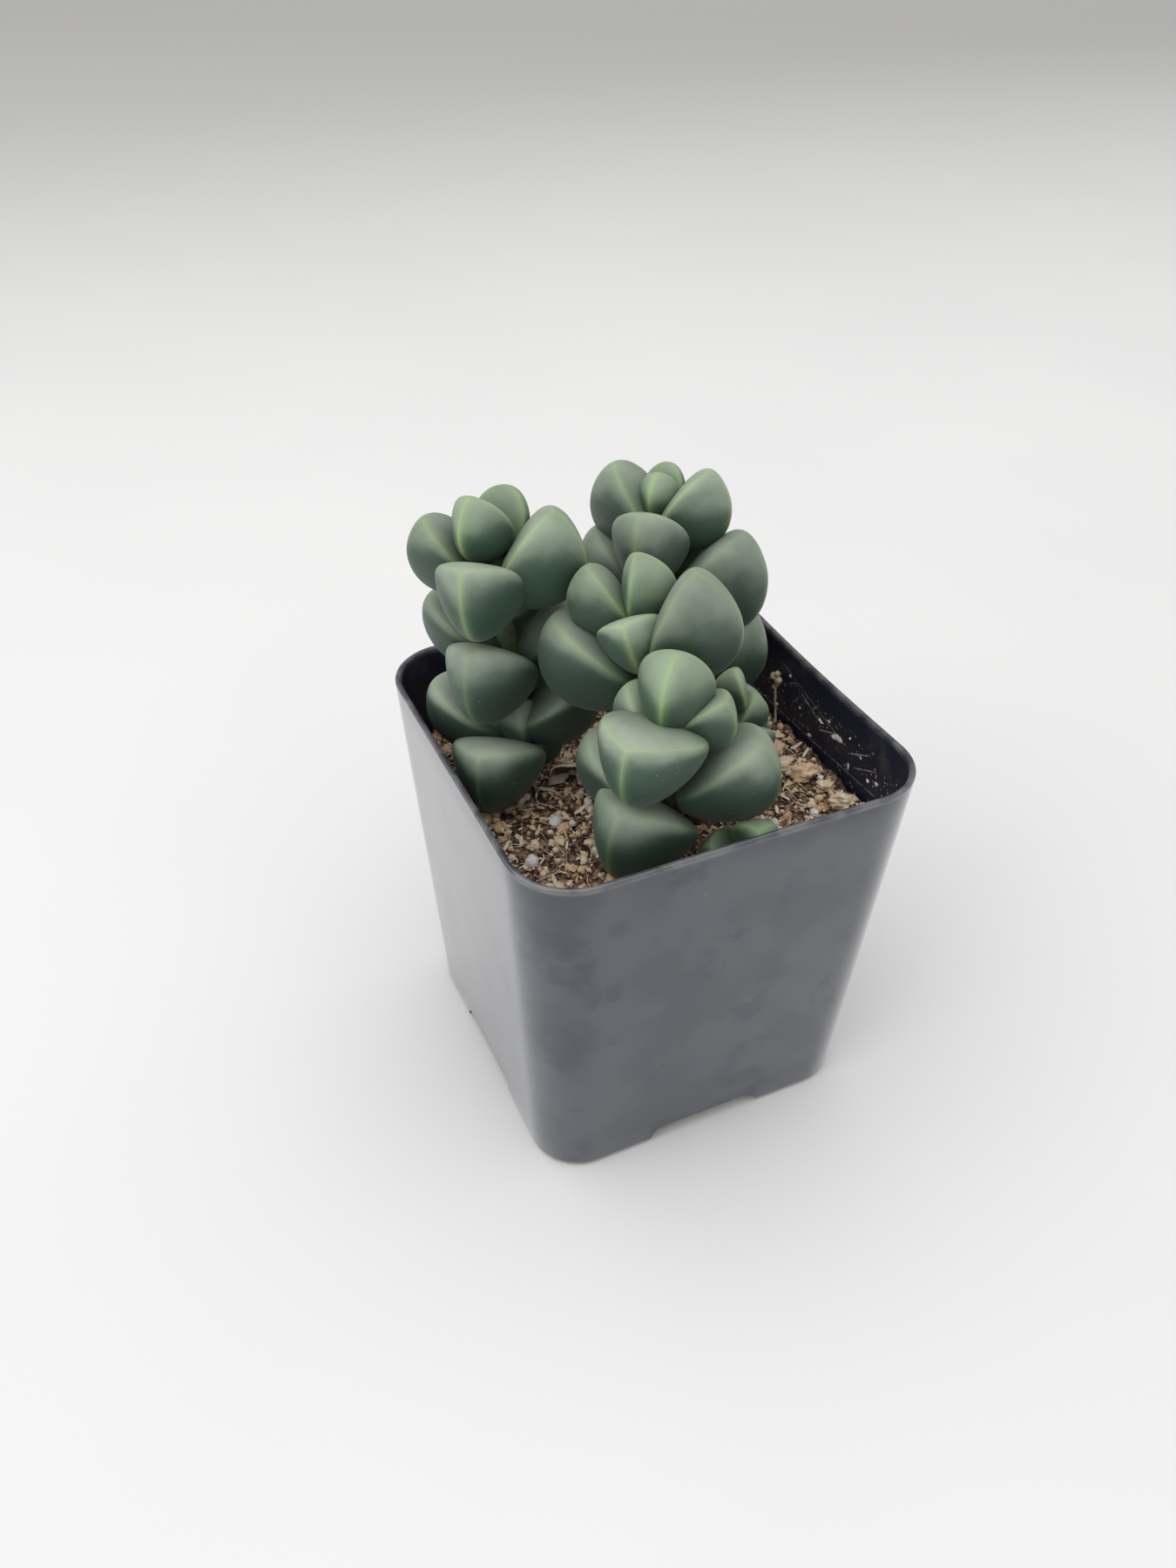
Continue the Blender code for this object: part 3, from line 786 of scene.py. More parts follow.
@dataclass(frozen=True)
class LeafForm:
    """The shape every leaf shares: three bulging faces that meet in soft edges.

    Each face is part of a ball round the leaf's core, measured along rays from that core.
    """

    face_ball: float = 1.25
    face_offset: float = 0.66
    face_lift: float = 0.10
    top_ball: float = 2.7
    edge_sharpness: float = 7.0
    tip_sharpness: float = 5.0
    base_sharpness: float = 3.0
    core_depth: float = 0.33
    tip_weight: float = 0.88
    width: float = 0.88
    depth: float = 0.73
    line_width: float = 0.40 * MM
    glow_width: float = 1.15 * MM
    crowding: float = 0.60
    tip_reach: float = 0.60
    base_from: float = math.radians(95)
    base_to: float = math.radians(165)
    segments: int = 60
    rings: int = 36
    halvings: int = 24

    @property
    def form_depth(self) -> float:
        """Distance from the top face down to the keel in the ball's own units."""
        return math.sqrt(self.face_ball ** 2 - self.face_offset ** 2) - self.face_lift

    @property
    def half_width(self) -> float:
        """Half the distance between the margins in the ball's own units."""
        return math.sqrt(self.face_ball ** 2 - self.face_lift ** 2) - self.face_offset

    @property
    def core(self) -> Vector:
        """The point that the rays start from."""
        return Vector((0, 0, -self.core_depth * self.form_depth))

    def distances(self, direction: Vector) -> list[float]:
        """Distances from the core to the two side faces and the top face along a direction.

        Args:
            direction: The direction, of length 1.

        Returns:
            The three distances.
        """
        found = []
        for y, z, radius in ((-self.face_offset, self.face_lift, self.face_ball),
                             (self.face_offset, self.face_lift, self.face_ball),
                             (0.0, -self.top_ball, self.top_ball)):
            offset = self.core - Vector((0, y, z))
            lean = direction.dot(offset)
            found.append(-lean + math.sqrt(lean * lean + radius * radius - offset.dot(offset)))
        return found

    def direction(self, polar: float, section: float) -> Vector:
        """A direction from the core: polar from the tip, section round the length from +Y."""
        return Vector((math.cos(polar), math.sin(polar) * math.cos(section),
                       math.sin(polar) * math.sin(section)))

    def margin(self, polar: float) -> float:
        """The section angle where a side face meets the top face, found by halving.

        Args:
            polar: The angle from the direction of the tip.

        Returns:
            The section angle.
        """
        low, high = -QUARTER_TURN, QUARTER_TURN
        for _ in range(self.halvings):
            middle = (low + high) / 2
            side, _other, top = self.distances(self.direction(polar, middle))
            if side < top:
                low = middle
            else:
                high = middle
        return (low + high) / 2

    def sharpness(self, polar: float) -> float:
        """How sharply the faces meet: less at the blunt tip, least at the round base.

        Args:
            polar: The angle from the direction of the tip.

        Returns:
            The power that blends the faces.
        """
        tip = math.exp(-(polar / self.tip_reach) ** 2)
        base = ease(polar, self.base_from, self.base_to)
        kept = self.edge_sharpness + (self.tip_sharpness - self.edge_sharpness) * tip
        return kept + (self.base_sharpness - kept) * base

    def section(self, turn: float, margin: float) -> float:
        """Map an even turn from the keel to a section angle, crowded towards the three edges.

        Args:
            turn: The even turn, from 0 to a full circle.
            margin: The section angle of the margin.

        Returns:
            The section angle.
        """
        third = FULL_TURN / 3
        face = min(2, int(turn / third))
        share = turn / third - face
        share -= self.crowding * math.sin(FULL_TURN * share) / FULL_TURN
        starts = (-QUARTER_TURN, margin, math.pi - margin)
        spans = (margin + QUARTER_TURN, math.pi - 2 * margin, margin + QUARTER_TURN)
        return starts[face] + spans[face] * share

    def unit(self) -> bmesh.types.BMesh:
        """A leaf of length 1 with its base at the origin, its tip at +X and its keel down.

        Returns:
            The form, with how far along, how near the top face and the gap to the next face at
            each point.
        """
        form = bmesh.new()
        bmesh.ops.create_uvsphere(form, u_segments=self.segments, v_segments=self.rings, radius=1.0)
        along, gap, inner = layer(form, "along"), layer(form, "gap"), layer(form, "inner")
        margins: dict[float, float] = {}
        for vert in form.verts:
            polar = math.acos(max(-1.0, min(1.0, vert.co.z)))
            turn = math.atan2(vert.co.y, vert.co.x) % FULL_TURN
            key = round(polar, 3)
            if key not in margins:
                margins[key] = self.margin(polar)
            direction = self.direction(polar, self.section(turn, margins[key]))
            found = self.distances(direction)
            sharpness = self.sharpness(polar)
            softened = sum(d ** -sharpness for d in found) ** (-1.0 / sharpness)
            nearest = sorted(found)
            vert[gap] = nearest[1] - nearest[0]
            vert[inner] = 1.0 if found[2] == nearest[0] else 0.0
            vert.co = self.core + direction * softened
        base = min(vert.co.x for vert in form.verts)
        tip = max(vert.co.x for vert in form.verts)
        for vert in form.verts:
            length = ((vert.co.x - base) / (tip - base)) ** self.tip_weight
            vert[along] = length
            vert.co = (length, vert.co.y / (2 * self.half_width), vert.co.z / self.form_depth)
        return form


@dataclass(frozen=True)
class Leaf:
    """One leaf's place on its stem, in degrees and millimetres.

    Lift is up the stem from its pair, and further is out from where the others stand.
    """

    pair: int
    side: Side
    turn: float
    opening: float
    length: float
    lift: float
    further: float

    @property
    def bearing(self) -> float:
        """Its direction round the stem, before the stem's own spin."""
        return 90 * ((self.pair - 1) % 2) + self.side.value + self.turn


def leaves(*rows: tuple) -> tuple[Leaf, ...]:
    """Leaves from rows of pair, side, turn, opening, length, lift and further."""
    return tuple(Leaf(*row) for row in rows)


FRONT, BACK = Side.FRONT, Side.BACK


@dataclass(frozen=True)
class Shoot:
    """One leafy stem: its foot and tip in millimetres, its spin and its leaves."""

    name: str
    foot: tuple[float, float]
    tip: tuple[float, float, float]
    spin: float
    drops: tuple[float, ...]
    stem: tuple[float, float]
    rows: tuple[Leaf, ...]
    foot_level: float = 50.0
    sink: float = 7.0
    set_back: float = 2.6
    seed_reach: float = 40.0
    leaf_waves: Span = (6.0 * MM, 0.16 * MM)
    stem_waves: Span = (2.0 * MM, 0.14 * MM)
    stem_sides: int = 20
    stem_cuts: int = 36
    swell: float = 0.16
    swell_reach: float = 0.7

    @property
    def ends(self) -> tuple[Vector, Vector]:
        """The stem's foot at the soil and its tip."""
        return Vector((*self.foot, self.foot_level)) * MM, Vector(self.tip) * MM

    def leaf_frame(self, leaf: Leaf, form: LeafForm) -> Matrix:
        """Where a unit leaf goes on this stem.

        Args:
            leaf: The leaf.
            form: The shape that gives its width and depth.

        Returns:
            The matrix with its size, turn and place.
        """
        foot, tip = self.ends
        axis = (tip - foot).normalized()
        bearing = math.radians(self.spin + leaf.bearing)
        out = Vector((math.cos(bearing), math.sin(bearing), 0))
        out = (out - axis * out.dot(axis)).normalized()
        angle = math.radians(leaf.opening)
        ahead = axis * math.cos(angle) + out * math.sin(angle)
        up = axis * math.sin(angle) - out * math.cos(angle)
        size = leaf.length * MM
        columns = (ahead * size, up.cross(ahead) * size * form.width, up * size * form.depth)
        place = Matrix([list(row) for row in zip(*columns)]).to_4x4()
        drop = self.drops[leaf.pair - 1] - leaf.lift
        back = self.set_back - leaf.further
        place.translation = tip - axis * drop * MM - out * back * MM
        return place

    def add_leaf(self, body: bmesh.types.BMesh, unit: bpy.types.Mesh, leaf: Leaf, form: LeafForm,
                 chance: random.Random) -> None:
        """Add one leaf to the stem's mesh.

        Args:
            body: The stem's mesh in the making.
            unit: The unit leaf.
            leaf: Which leaf it is.
            form: The shape of the leaves.
            chance: The draws that make each leaf a little different.
        """
        copy = add_copy(body, unit)
        place = self.leaf_frame(leaf, form)
        along, gap = layer(body, "along"), layer(body, "gap")
        ridge, age, tint = layer(body, "ridge"), layer(body, "age"), layer(body, "tint")
        glow = layer(body, "glow")
        own_tint = chance.random()
        own_age = (leaf.pair - 1) / (len(self.drops) - 1)
        seed = Vector((chance.random(), chance.random(), chance.random())) * self.seed_reach
        across = leaf.length * MM * form.width / (2 * form.half_width)
        for vert in copy:
            vert.co = place @ vert.co
            vert.co += wander(vert.co + seed * MM, *self.leaf_waves) * vert[along]
            reach = vert[gap] * across
            vert[ridge] = math.exp(-(reach / form.line_width) ** 2)
            vert[glow] = math.exp(-(reach / form.glow_width) ** 2)
            vert[age] = own_age
            vert[tint] = own_tint

    def add_stem(self, body: bmesh.types.BMesh) -> None:
        """Add the stem: a tapering bar with a bulge at each leaf pair.

        Args:
            body: The stem's mesh in the making.
        """
        foot, tip = self.ends
        axis = (tip - foot).normalized()
        low, high = foot - axis * self.sink * MM, tip - axis * self.stem[1] * MM
        turn = Vector((0, 0, 1)).rotation_difference(axis).to_matrix().to_4x4()
        start, faces_before = len(body.verts), len(body.faces)
        bmesh.ops.create_cone(body, cap_ends=True, segments=self.stem_sides, radius1=self.stem[0] * MM,
                              radius2=self.stem[1] * MM, depth=(high - low).length,
                              matrix=Matrix.Translation((low + high) / 2) @ turn)
        body.faces.ensure_lookup_table()
        sides = [edge for face in body.faces[faces_before:] for edge in face.edges
                 if abs((edge.verts[1].co - edge.verts[0].co).normalized().dot(axis)) > 0.5]
        bmesh.ops.subdivide_edges(body, edges=list(set(sides)), cuts=self.stem_cuts)
        body.verts.ensure_lookup_table()
        body.faces.ensure_lookup_table()
        along = layer(body, "along")
        length = (high - low).length
        for vert in body.verts[start:]:
            reach = (vert.co - low).dot(axis)
            middle = low + axis * reach
            node = min(abs((high - vert.co).dot(axis) / MM - drop) for drop in self.drops)
            swell = 1.0 + self.swell * math.exp(-(node / self.swell_reach) ** 2)
            vert.co = middle + (vert.co - middle) * swell + wander(vert.co, *self.stem_waves)
            vert[along] = reach / length
        for face in body.faces[faces_before:]:
            face.material_index = 1

    def build(self, form: LeafForm, unit: bpy.types.Mesh) -> bmesh.types.BMesh:
        """The stem with its leaves.

        Args:
            form: The shape of the leaves.
            unit: The unit leaf.

        Returns:
            The mesh in the making.
        """
        chance = random.Random(self.name)
        body = bmesh.new()
        for name in ("along", "gap", "inner", "ridge", "glow", "age", "tint"):
            layer(body, name)
        for leaf in self.rows:
            self.add_leaf(body, unit, leaf, form, chance)
        self.add_stem(body)
        return body

    def dress(self, body: bmesh.types.BMesh, skin: bpy.types.Material,
              bark: bpy.types.Material) -> bpy.types.Object:
        """Make the stem a piece in its finish, in place of its plain solid.

        Args:
            body: The mesh in the making.
            skin: The leaves' material.
            bark: The stem's material.

        Returns:
            The piece.
        """
        piece = link(body, self.name + "_leaves", (skin, bark))
        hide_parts(self.name)
        return piece


BIG_DROPS = (0.0, 4.0, 9.5, 15.5, 22.0, 29.0, 36.5)
SMALL_DROPS = (0.0, 3.5, 8.0)
TINY_DROPS = (0.0, 3.0)

SHOOTS = (
    Shoot("shoot_back_left", (-15.5, 11.5), (-18.4, 13.6, 92.2), 227, BIG_DROPS, (2.5, 1.6), leaves(
        (1, FRONT, -16, 24, 11.0, -0.5, 0.0),
        (1, BACK, -7, 28, 10.5, -1.5, 1.5),
        (2, FRONT, 5, 31, 16.6, -3.1, 1.0),
        (2, BACK, 14, 36, 13.5, -1.0, 2.5),
        (3, FRONT, 2, 48, 15.5, 3.0, 1.0),
        (3, BACK, 0, 54, 15.0, -1.0, 0.0),
        (4, FRONT, 45, 44, 16.0, -3.4, 0.5),
        (4, BACK, -4, 56, 15.5, 0.0, 0.0),
        (5, FRONT, -5, 42, 16.5, 0.0, 0.0),
        (5, BACK, 0, 60, 15.0, 0.0, 0.0),
        (6, FRONT, 20, 60, 15.5, 0.0, 0.0),
        (6, BACK, 8, 55, 16.0, -1.5, 0.5),
        (7, FRONT, 0, 55, 17.0, 2.0, 1.5),
        (7, FRONT, -34, 26, 9.5, 4.0, 0.0),
        (7, FRONT, 32, 28, 9.5, 4.0, 0.0),
        (7, FRONT, 112, 56, 9.5, 0.5, 0.0))),
    Shoot("shoot_back_right", (12.5, 14.5), (12.5, 20.5, 88.5), 225, BIG_DROPS, (2.5, 1.6), leaves(
        (1, FRONT, -5, 10, 8.0, -1.2, 1.5),
        (1, BACK, -10, 20, 8.5, -0.6, 0.5),
        (2, FRONT, 1, 35, 14.5, 0.0, 0.0),
        (2, BACK, 1, 29, 15.5, -1.0, 0.5),
        (3, FRONT, 0, 39, 14.5, 2.5, 2.5),
        (3, BACK, 0, 52, 15.0, -1.0, 0.0),
        (4, FRONT, -3, 39, 19.5, -0.5, 1.0),
        (4, BACK, 2, 40, 18.0, 0.5, 0.0),
        (5, BACK, 0, 58, 15.0, 0.0, 0.0),
        (6, FRONT, 10, 47, 19.0, 2.0, 0.5),
        (6, BACK, 0, 60, 15.5, 0.0, 0.0))),
    Shoot("shoot_middle", (6.0, -10.5), (-4.5, -1.6, 87.0), 156, BIG_DROPS, (2.4, 1.6), leaves(
        (1, FRONT, 0, 16, 12.0, -3.3, 0.8),
        (1, BACK, 0, 18, 11.5, -3.3, 0.8),
        (2, FRONT, -2, 53, 11.5, -0.5, 0.0),
        (2, BACK, 0, 34, 10.0, -3.0, 0.0),
        (3, FRONT, -6, 34, 18.4, -2.4, 0.6),
        (3, BACK, -19, 33, 18.0, -0.5, 1.7))),
    Shoot("shoot_front", (-2.0, -13.5), (-3.5, -15.5, 79.0), 216, BIG_DROPS, (2.4, 1.6), leaves(
        (1, FRONT, 10, 6, 13.0, -2.5, 0.5),
        (1, BACK, 0, 16, 8.0, -1.0, -0.3),
        (2, FRONT, 0, 43, 10.5, 1.0, 1.5),
        (2, BACK, 8, 42, 11.2, -1.7, 0.8),
        (3, FRONT, 0, 60, 18.0, 6.0, 0.0),
        (4, FRONT, 9, 42, 17.6, 1.0, 1.2),
        (4, BACK, 9, 55, 17.0, -1.0, 0.0),
        (5, FRONT, -8, 46, 18.5, 0.5, 0.0))),
    Shoot("shoot_small_right", (14.5, -3.0), (15.5, -3.0, 61.5), 159, SMALL_DROPS, (1.6, 1.1), leaves(
        (1, FRONT, -7, 19, 7.5, 3.5, 1.5),
        (1, BACK, -2, 20, 8.0, -1.0, 0.0),
        (2, FRONT, 0, 44, 12.0, 0.0, 0.0),
        (2, BACK, 0, 44, 12.0, 0.0, 0.0))),
    Shoot("shoot_small_front", (7.5, -21.5), (5.0, -25.0, 57.0), 184, TINY_DROPS, (1.4, 1.0), leaves(
        (1, FRONT, -28, 38, 8.0, -2.0, 2.5),
        (1, BACK, 9, 14, 9.0, -1.5, 0.0))),
)


@dataclass(frozen=True)
class SquareOutline:
    """The pot's plan: a tapering square with round corners, whose +X side bows in at the rim."""

    height: float = 66.0 * MM
    top_half: float = 32.0 * MM
    bottom_half: float = 27.8 * MM
    top_corner: float = 9.8 * MM
    bottom_corner: float = 8.0 * MM
    bow: float = 0.6 * MM
    least_corner: float = 0.5 * MM
    corner_steps: int = 14
    side_steps: int = 30

    @property
    def count(self) -> int:
        """Points round the outline."""
        return 4 * (self.corner_steps + self.side_steps)

    def half(self, z: float) -> float:
        """Half the outer width at a height."""
        return self.bottom_half + (self.top_half - self.bottom_half) * z / self.height

    def corner(self, z: float) -> float:
        """The outer corner radius at a height."""
        return self.bottom_corner + (self.top_corner - self.bottom_corner) * z / self.height

    def bowed(self, point: Vector) -> Vector:
        """Pull the middle of the +X side in towards its top, as thin plastic bows.

        Args:
            point: A point of the straight-sided outline.

        Returns:
            Where it lies once the side bows.
        """
        if point.x <= 0:
            return point
        along = max(0.0, 1.0 - (point.y / self.top_half) ** 2) ** 2
        side = (point.x / self.top_half) ** 3
        lift = (max(0.0, point.z) / self.height) ** 3
        return point - Vector((self.bow * along * side * lift, 0, 0))

    def points(self, z: float, inset: float, shape_z: float | None = None) -> list[Vector]:
        """Points round the outline.

        Args:
            z: Their height.
            inset: How far in from the outer face they lie.
            shape_z: The height whose outline is used, if it isn't z.

        Returns:
            The points, in order round the pot.
        """
        level = z if shape_z is None else shape_z
        half = self.half(level) - inset
        corner = max(self.least_corner, self.corner(level) - inset)
        found = []
        for quarter in range(4):
            turn = Matrix.Rotation(quarter * QUARTER_TURN, 3, "Z")
            for step in range(self.corner_steps):
                angle = QUARTER_TURN * step / self.corner_steps
                local = Vector((half - corner + corner * math.cos(angle),
                                half - corner + corner * math.sin(angle), z))
                found.append(self.bowed(turn @ local))
            straight = half - corner
            for step in range(self.side_steps):
                across = straight - 2 * straight * step / self.side_steps
                found.append(self.bowed(turn @ Vector((across, half, z))))
        return found


@dataclass
class NurseryPot:
    """The thin square pot with a rounded rim, corner feet, channels and drain holes."""

    outline: SquareOutline = field(default_factory=SquareOutline)
    wall: float = 1.0 * MM
    floor: float = 1.2 * MM
    rim_round: float = 0.42 * MM
    foot_round: float = 1.3 * MM
    channel_height: float = 3.4 * MM
    channel_half: float = 9.0 * MM
    channel_slant: float = 1.6 * MM
    channel_round: float = 1.1 * MM
    edge_round: float = 0.22 * MM
    drain_radius: float = 3.0 * MM
    drain_spacing: float = 13.0 * MM
    drain_sides: int = 40
    levels: int = 14
    round_steps: int = 6
    overcut: float = 4.0 * MM
    rounded_angle: float = math.radians(35)
    sharp_angle: float = math.radians(40)

    def block(self, sections: Sequence[tuple[float, float]]) -> bmesh.types.BMesh:
        """A closed form that follows the outline up through sections of height and inset.

        Args:
            sections: Height and inset of each ring of points, lowest first.

        Returns:
            The mesh in the making.
        """
        form = bmesh.new()
        around, up = self.outline.count, len(sections) - 1
        bmesh.ops.create_grid(form, x_segments=around, y_segments=up, size=1.0)
        rings = [self.outline.points(z, inset) for z, inset in sections]
        for vert in form.verts:
            column = round((vert.co.x + 1) / 2 * around) % around
            vert.co = rings[round((vert.co.y + 1) / 2 * up)][column]
        bmesh.ops.remove_doubles(form, verts=form.verts, dist=WELD)
        rims = [edge for edge in form.edges if edge.is_boundary]
        bmesh.ops.holes_fill(form, edges=rims, sides=0)
        bmesh.ops.recalc_face_normals(form, faces=form.faces)
        return form

    def bar(self, grow: float, quarter: int) -> bmesh.types.BMesh:
        """A slant-sided bar under the floor with rounded top edges.

        Args:
            grow: How much larger it is than the channel.
            quarter: 0 along X, 1 along Y.

        Returns:
            The mesh in the making.
        """
        form = bmesh.new()
        bmesh.ops.create_cube(form, size=1.0)
        top = self.channel_height + grow
        slope = self.channel_slant / self.channel_height
        for vert in form.verts:
            z = top if vert.co.z > 0 else -self.overcut
            half = self.channel_half + grow + slope * (top - z)
            vert.co = (2 * self.outline.top_half * vert.co.x, 2 * half * vert.co.y, z)
        ridge = [edge for edge in form.edges if all(vert.co.z > 0 for vert in edge.verts)
                 and abs(edge.verts[0].co.y - edge.verts[1].co.y) < WELD]
        bmesh.ops.bevel(form, geom=ridge, offset=self.channel_round, segments=4, profile=0.5,
                        affect="EDGES", material=-1)
        turn = Matrix.Rotation(quarter * QUARTER_TURN, 3, "Z")
        bmesh.ops.rotate(form, verts=form.verts, matrix=turn)
        return form

    def drain(self, x: float, y: float) -> bmesh.types.BMesh:
        """A round cutter through the raised floor at a place.

        Args:
            x: The hole's X.
            y: The hole's Y.

        Returns:
            The mesh in the making.
        """
        form = bmesh.new()
        middle = Vector((x, y, self.channel_height + self.floor / 2))
        bmesh.ops.create_cone(form, cap_ends=True, segments=self.drain_sides,
                              radius1=self.drain_radius, radius2=self.drain_radius,
                              depth=3 * self.floor, matrix=Matrix.Translation(middle))
        return form

    def rounding(self) -> list[Span]:
        """Sine and cosine at each step of a quarter round."""
        angles = [QUARTER_TURN * step / self.round_steps for step in range(self.round_steps + 1)]
        return [(math.sin(angle), math.cos(angle)) for angle in angles]

    def straight(self, low: float, inset: float) -> list[Span]:
        """Height and inset of the rings between the lowest one and the rim's rounding."""
        span = self.outline.height - self.rim_round - low
        return [(low + span * step / self.levels, inset) for step in range(1, self.levels + 1)]

    def hollow(self) -> bpy.types.Mesh:
        """The inside, opening a little at the rim, without the raised cross of the floor.

        Returns:
            The mesh that is cut out of the pot.
        """
        top, rim = self.outline.height, self.rim_round
        sections = [(self.floor, self.wall), *self.straight(self.floor, self.wall)]
        sections += [(top - rim + rim * sine, self.wall - rim + rim * cosine)
                     for sine, cosine in self.rounding()[1:]]
        sections.append((top + self.overcut, self.wall - rim))
        return cut(self.block(sections), [self.bar(self.floor, 0), self.bar(self.floor, 1)])

    def build(self) -> bmesh.types.BMesh:
        """The whole pot.

        Returns:
            The mesh in the making.
        """
        top, rim, foot = self.outline.height, self.rim_round, self.foot_round
        rounding = self.rounding()
        sections = [(foot - foot * cosine, foot - foot * sine) for sine, cosine in rounding]
        sections += self.straight(foot, 0.0)
        sections += [(top - rim + rim * sine, rim - rim * cosine) for sine, cosine in rounding[1:]]
        inside = bmesh.new()
        inside.from_mesh(self.hollow())
        tools = [inside, self.bar(0.0, 0), self.bar(0.0, 1), self.drain(0.0, 0.0)]
        for quarter in range(4):
            angle = quarter * QUARTER_TURN
            tools.append(self.drain(self.drain_spacing * math.cos(angle),
                                    self.drain_spacing * math.sin(angle)))
        form = bmesh.new()
        form.from_mesh(cut(self.block(sections), tools))
        sharp = [edge for edge in form.edges if len(edge.link_faces) == 2
                 and max(vert.co.z for vert in edge.verts) < 2 * self.channel_height
                 and edge.calc_face_angle() > self.rounded_angle]
        bmesh.ops.bevel(form, geom=sharp, offset=self.edge_round, segments=2, profile=0.5,
                        affect="EDGES", material=-1, clamp_overlap=True)
        return form

    def dress(self, form: bmesh.types.BMesh, plastic: bpy.types.Material) -> bpy.types.Object:
        """Make the pot a piece in its plastic, in place of its plain solid.

        Args:
            form: The mesh in the making, which is freed.
            plastic: The pot's material.

        Returns:
            The piece.
        """
        piece = link(form, "pot_shell", [plastic])
        piece.data.set_sharp_from_angle(angle=self.sharp_angle)
        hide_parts("nursery_pot")
        return piece


@dataclass(frozen=True)
class CrumbKind:
    """One kind of loose bit on the bed: how many, how big, how flat, how deep and how brown."""

    count: int
    sizes: Span
    stretch: Triple
    tilt: float
    lift: float
    tones: Span


@dataclass
class PottingSoil:
    """Coir potting mix: a rough bed under lumps, husk flakes, fibres and perlite grains."""

    outline: SquareOutline = field(default_factory=SquareOutline)
    pot: NurseryPot = field(default_factory=NurseryPot)
    inset: float = 1.3 * MM
    low: float = 1.5 * MM
    level: float = 51.4 * MM
    mound: float = 0.5 * MM
    crumb: float = 0.55 * MM
    crumb_size: float = 3.2 * MM
    crumb_layers: tuple[Span, ...] = ((1.0, 1.0), (2.3, 0.5))
    bank: float = 1.9 * MM
    bank_x: Span = (21.0 * MM, 29.0 * MM)
    bank_y: Span = (12.0 * MM, 3.0 * MM)
    bank_base: float = 0.75
    bank_lumps: Span = (0.8, 0.5)
    bank_offset: Vector = field(default_factory=lambda: Vector((5.0, 0.0, 0.0)))
    grit: float = 0.55 * MM
    grit_size: float = 1.3 * MM
    grit_slice: float = 0.3 * MM
    grit_layers: tuple[Span, ...] = ((1.0, 1.0), (2.1, 0.6), (4.3, 0.4))
    grit_drop: float = 0.45
    steps: int = 150
    seed: int = 11
    spread: float = 0.97
    lift_span: Span = (-1.0, 1.4)
    wall_gap: float = 0.2 * MM
    few_shapes: int = 6
    more_shapes: int = 8
    lump_relief: Span = (1.4, 0.55)
    chunk_relief: Span = (1.3, 0.55)
    streak_fineness: Triple = (2.0, 7.0, 5.0)
    streak_layers: tuple[Span, ...] = ((1.0, 0.34), (2.3, 0.20))
    flake_taper: float = 0.35
    flake_bend: Span = (0.8, 0.45)
    flake_curl: float = 0.16
    flake_ragged: Span = (2.3, 0.22)
    flake_thick: float = 0.14
    fibre_radii: Span = (0.030, 0.018)
    fibre_cuts: int = 7
    fibre_waves: Triple = (0.9, 0.45, 0.10)
    placed_grains: tuple[Triple, ...] = (
        (-15.8, -2.3, 1.15), (-22.8, -9.5, 1.15), (-9.3, 0.1, 0.7),
        (21.9, -16.7, 0.9), (14.8, -16.4, 0.8), (16.2, -20.4, 0.7))
    placed_chunks: tuple[Triple, ...] = (
        (25.6, -7.7, 2.3), (27.2, -16.2, 1.8), (24.6, -0.1, 1.3),
        (26.6, -12.2, 1.4), (23.9, -4.2, 1.5), (28.0, -20.0, 1.3))
    lumps: CrumbKind = CrumbKind(1900, (0.20, 0.55), (1.25, 1.0, 0.8), 60, 0.30, (0.05, 1.00))
    clods: CrumbKind = CrumbKind(180, (0.50, 1.00), (1.3, 1.0, 0.7), 40, 0.10, (0.25, 0.95))
    chunks: CrumbKind = CrumbKind(40, (0.50, 1.00), (1.2, 1.0, 0.70), 25, 0.10, (0.45, 0.80))
    flakes: CrumbKind = CrumbKind(1600, (0.42, 1.15), (1.0, 0.30, 0.42), 48, 0.45, (0.35, 1.05))
    fibres: CrumbKind = CrumbKind(560, (1.1, 3.2), (1.0, 1.0, 1.0), 20, 0.16, (0.60, 1.15))
    grains: CrumbKind = CrumbKind(26, (0.25, 0.70), (1.1, 1.0, 0.9), 90, 0.30, (0.0, 1.0))

    def spot(self, u: float, v: float, z: float) -> Vector:
        """Map a square from -1 to 1 onto the pot's inside at a height.

        Args:
            u: Across the square.
            v: Along the square.
            z: The height.

        Returns:
            The place.
        """
        half = self.outline.half(z) - self.inset
        corner = self.outline.corner(z) - self.inset
        edge = max(abs(u), abs(v), WELD)
        x, y = abs(half * u / edge), abs(half * v / edge)
        straight = half - corner
        pull = 1.0
        if min(x, y) > straight:
            square, lean = x * x + y * y, straight * (x + y)
            rest = 2 * straight ** 2 - corner ** 2
            pull = (lean + math.sqrt(lean * lean - square * rest)) / square
        pull = 1 + (pull - 1) * edge ** 3
        return self.outline.bowed(Vector((half * u * pull, half * v * pull, z)))

    def height(self, x: float, y: float) -> float:
        """The bed's height at a place: a low crumbled mound with a bank along the +X wall.

        Args:
            x: The place's X.
            y: The place's Y.

        Returns:
            The height.
        """
        spread = (x * x + y * y) / self.outline.top_half ** 2
        place = Vector((x, y, 0.0)) / self.crumb_size
        crumbs = relief(place, self.crumb_layers)
        bank = ease(x, *self.bank_x) * ease(y, *self.bank_y)
        fineness, strength = self.bank_lumps
        bank *= self.bank_base + strength * noise.noise(place * fineness + self.bank_offset)
        return self.level + self.mound * (1 - spread) + self.crumb * crumbs + self.bank * bank

    def rough_height(self, x: float, y: float) -> float:
        """The bed's height with its fine grit."""
        place = Vector((x, y, self.grit_slice)) / self.grit_size
        return self.height(x, y) + self.grit * (relief(place, self.grit_layers) - self.grit_drop)

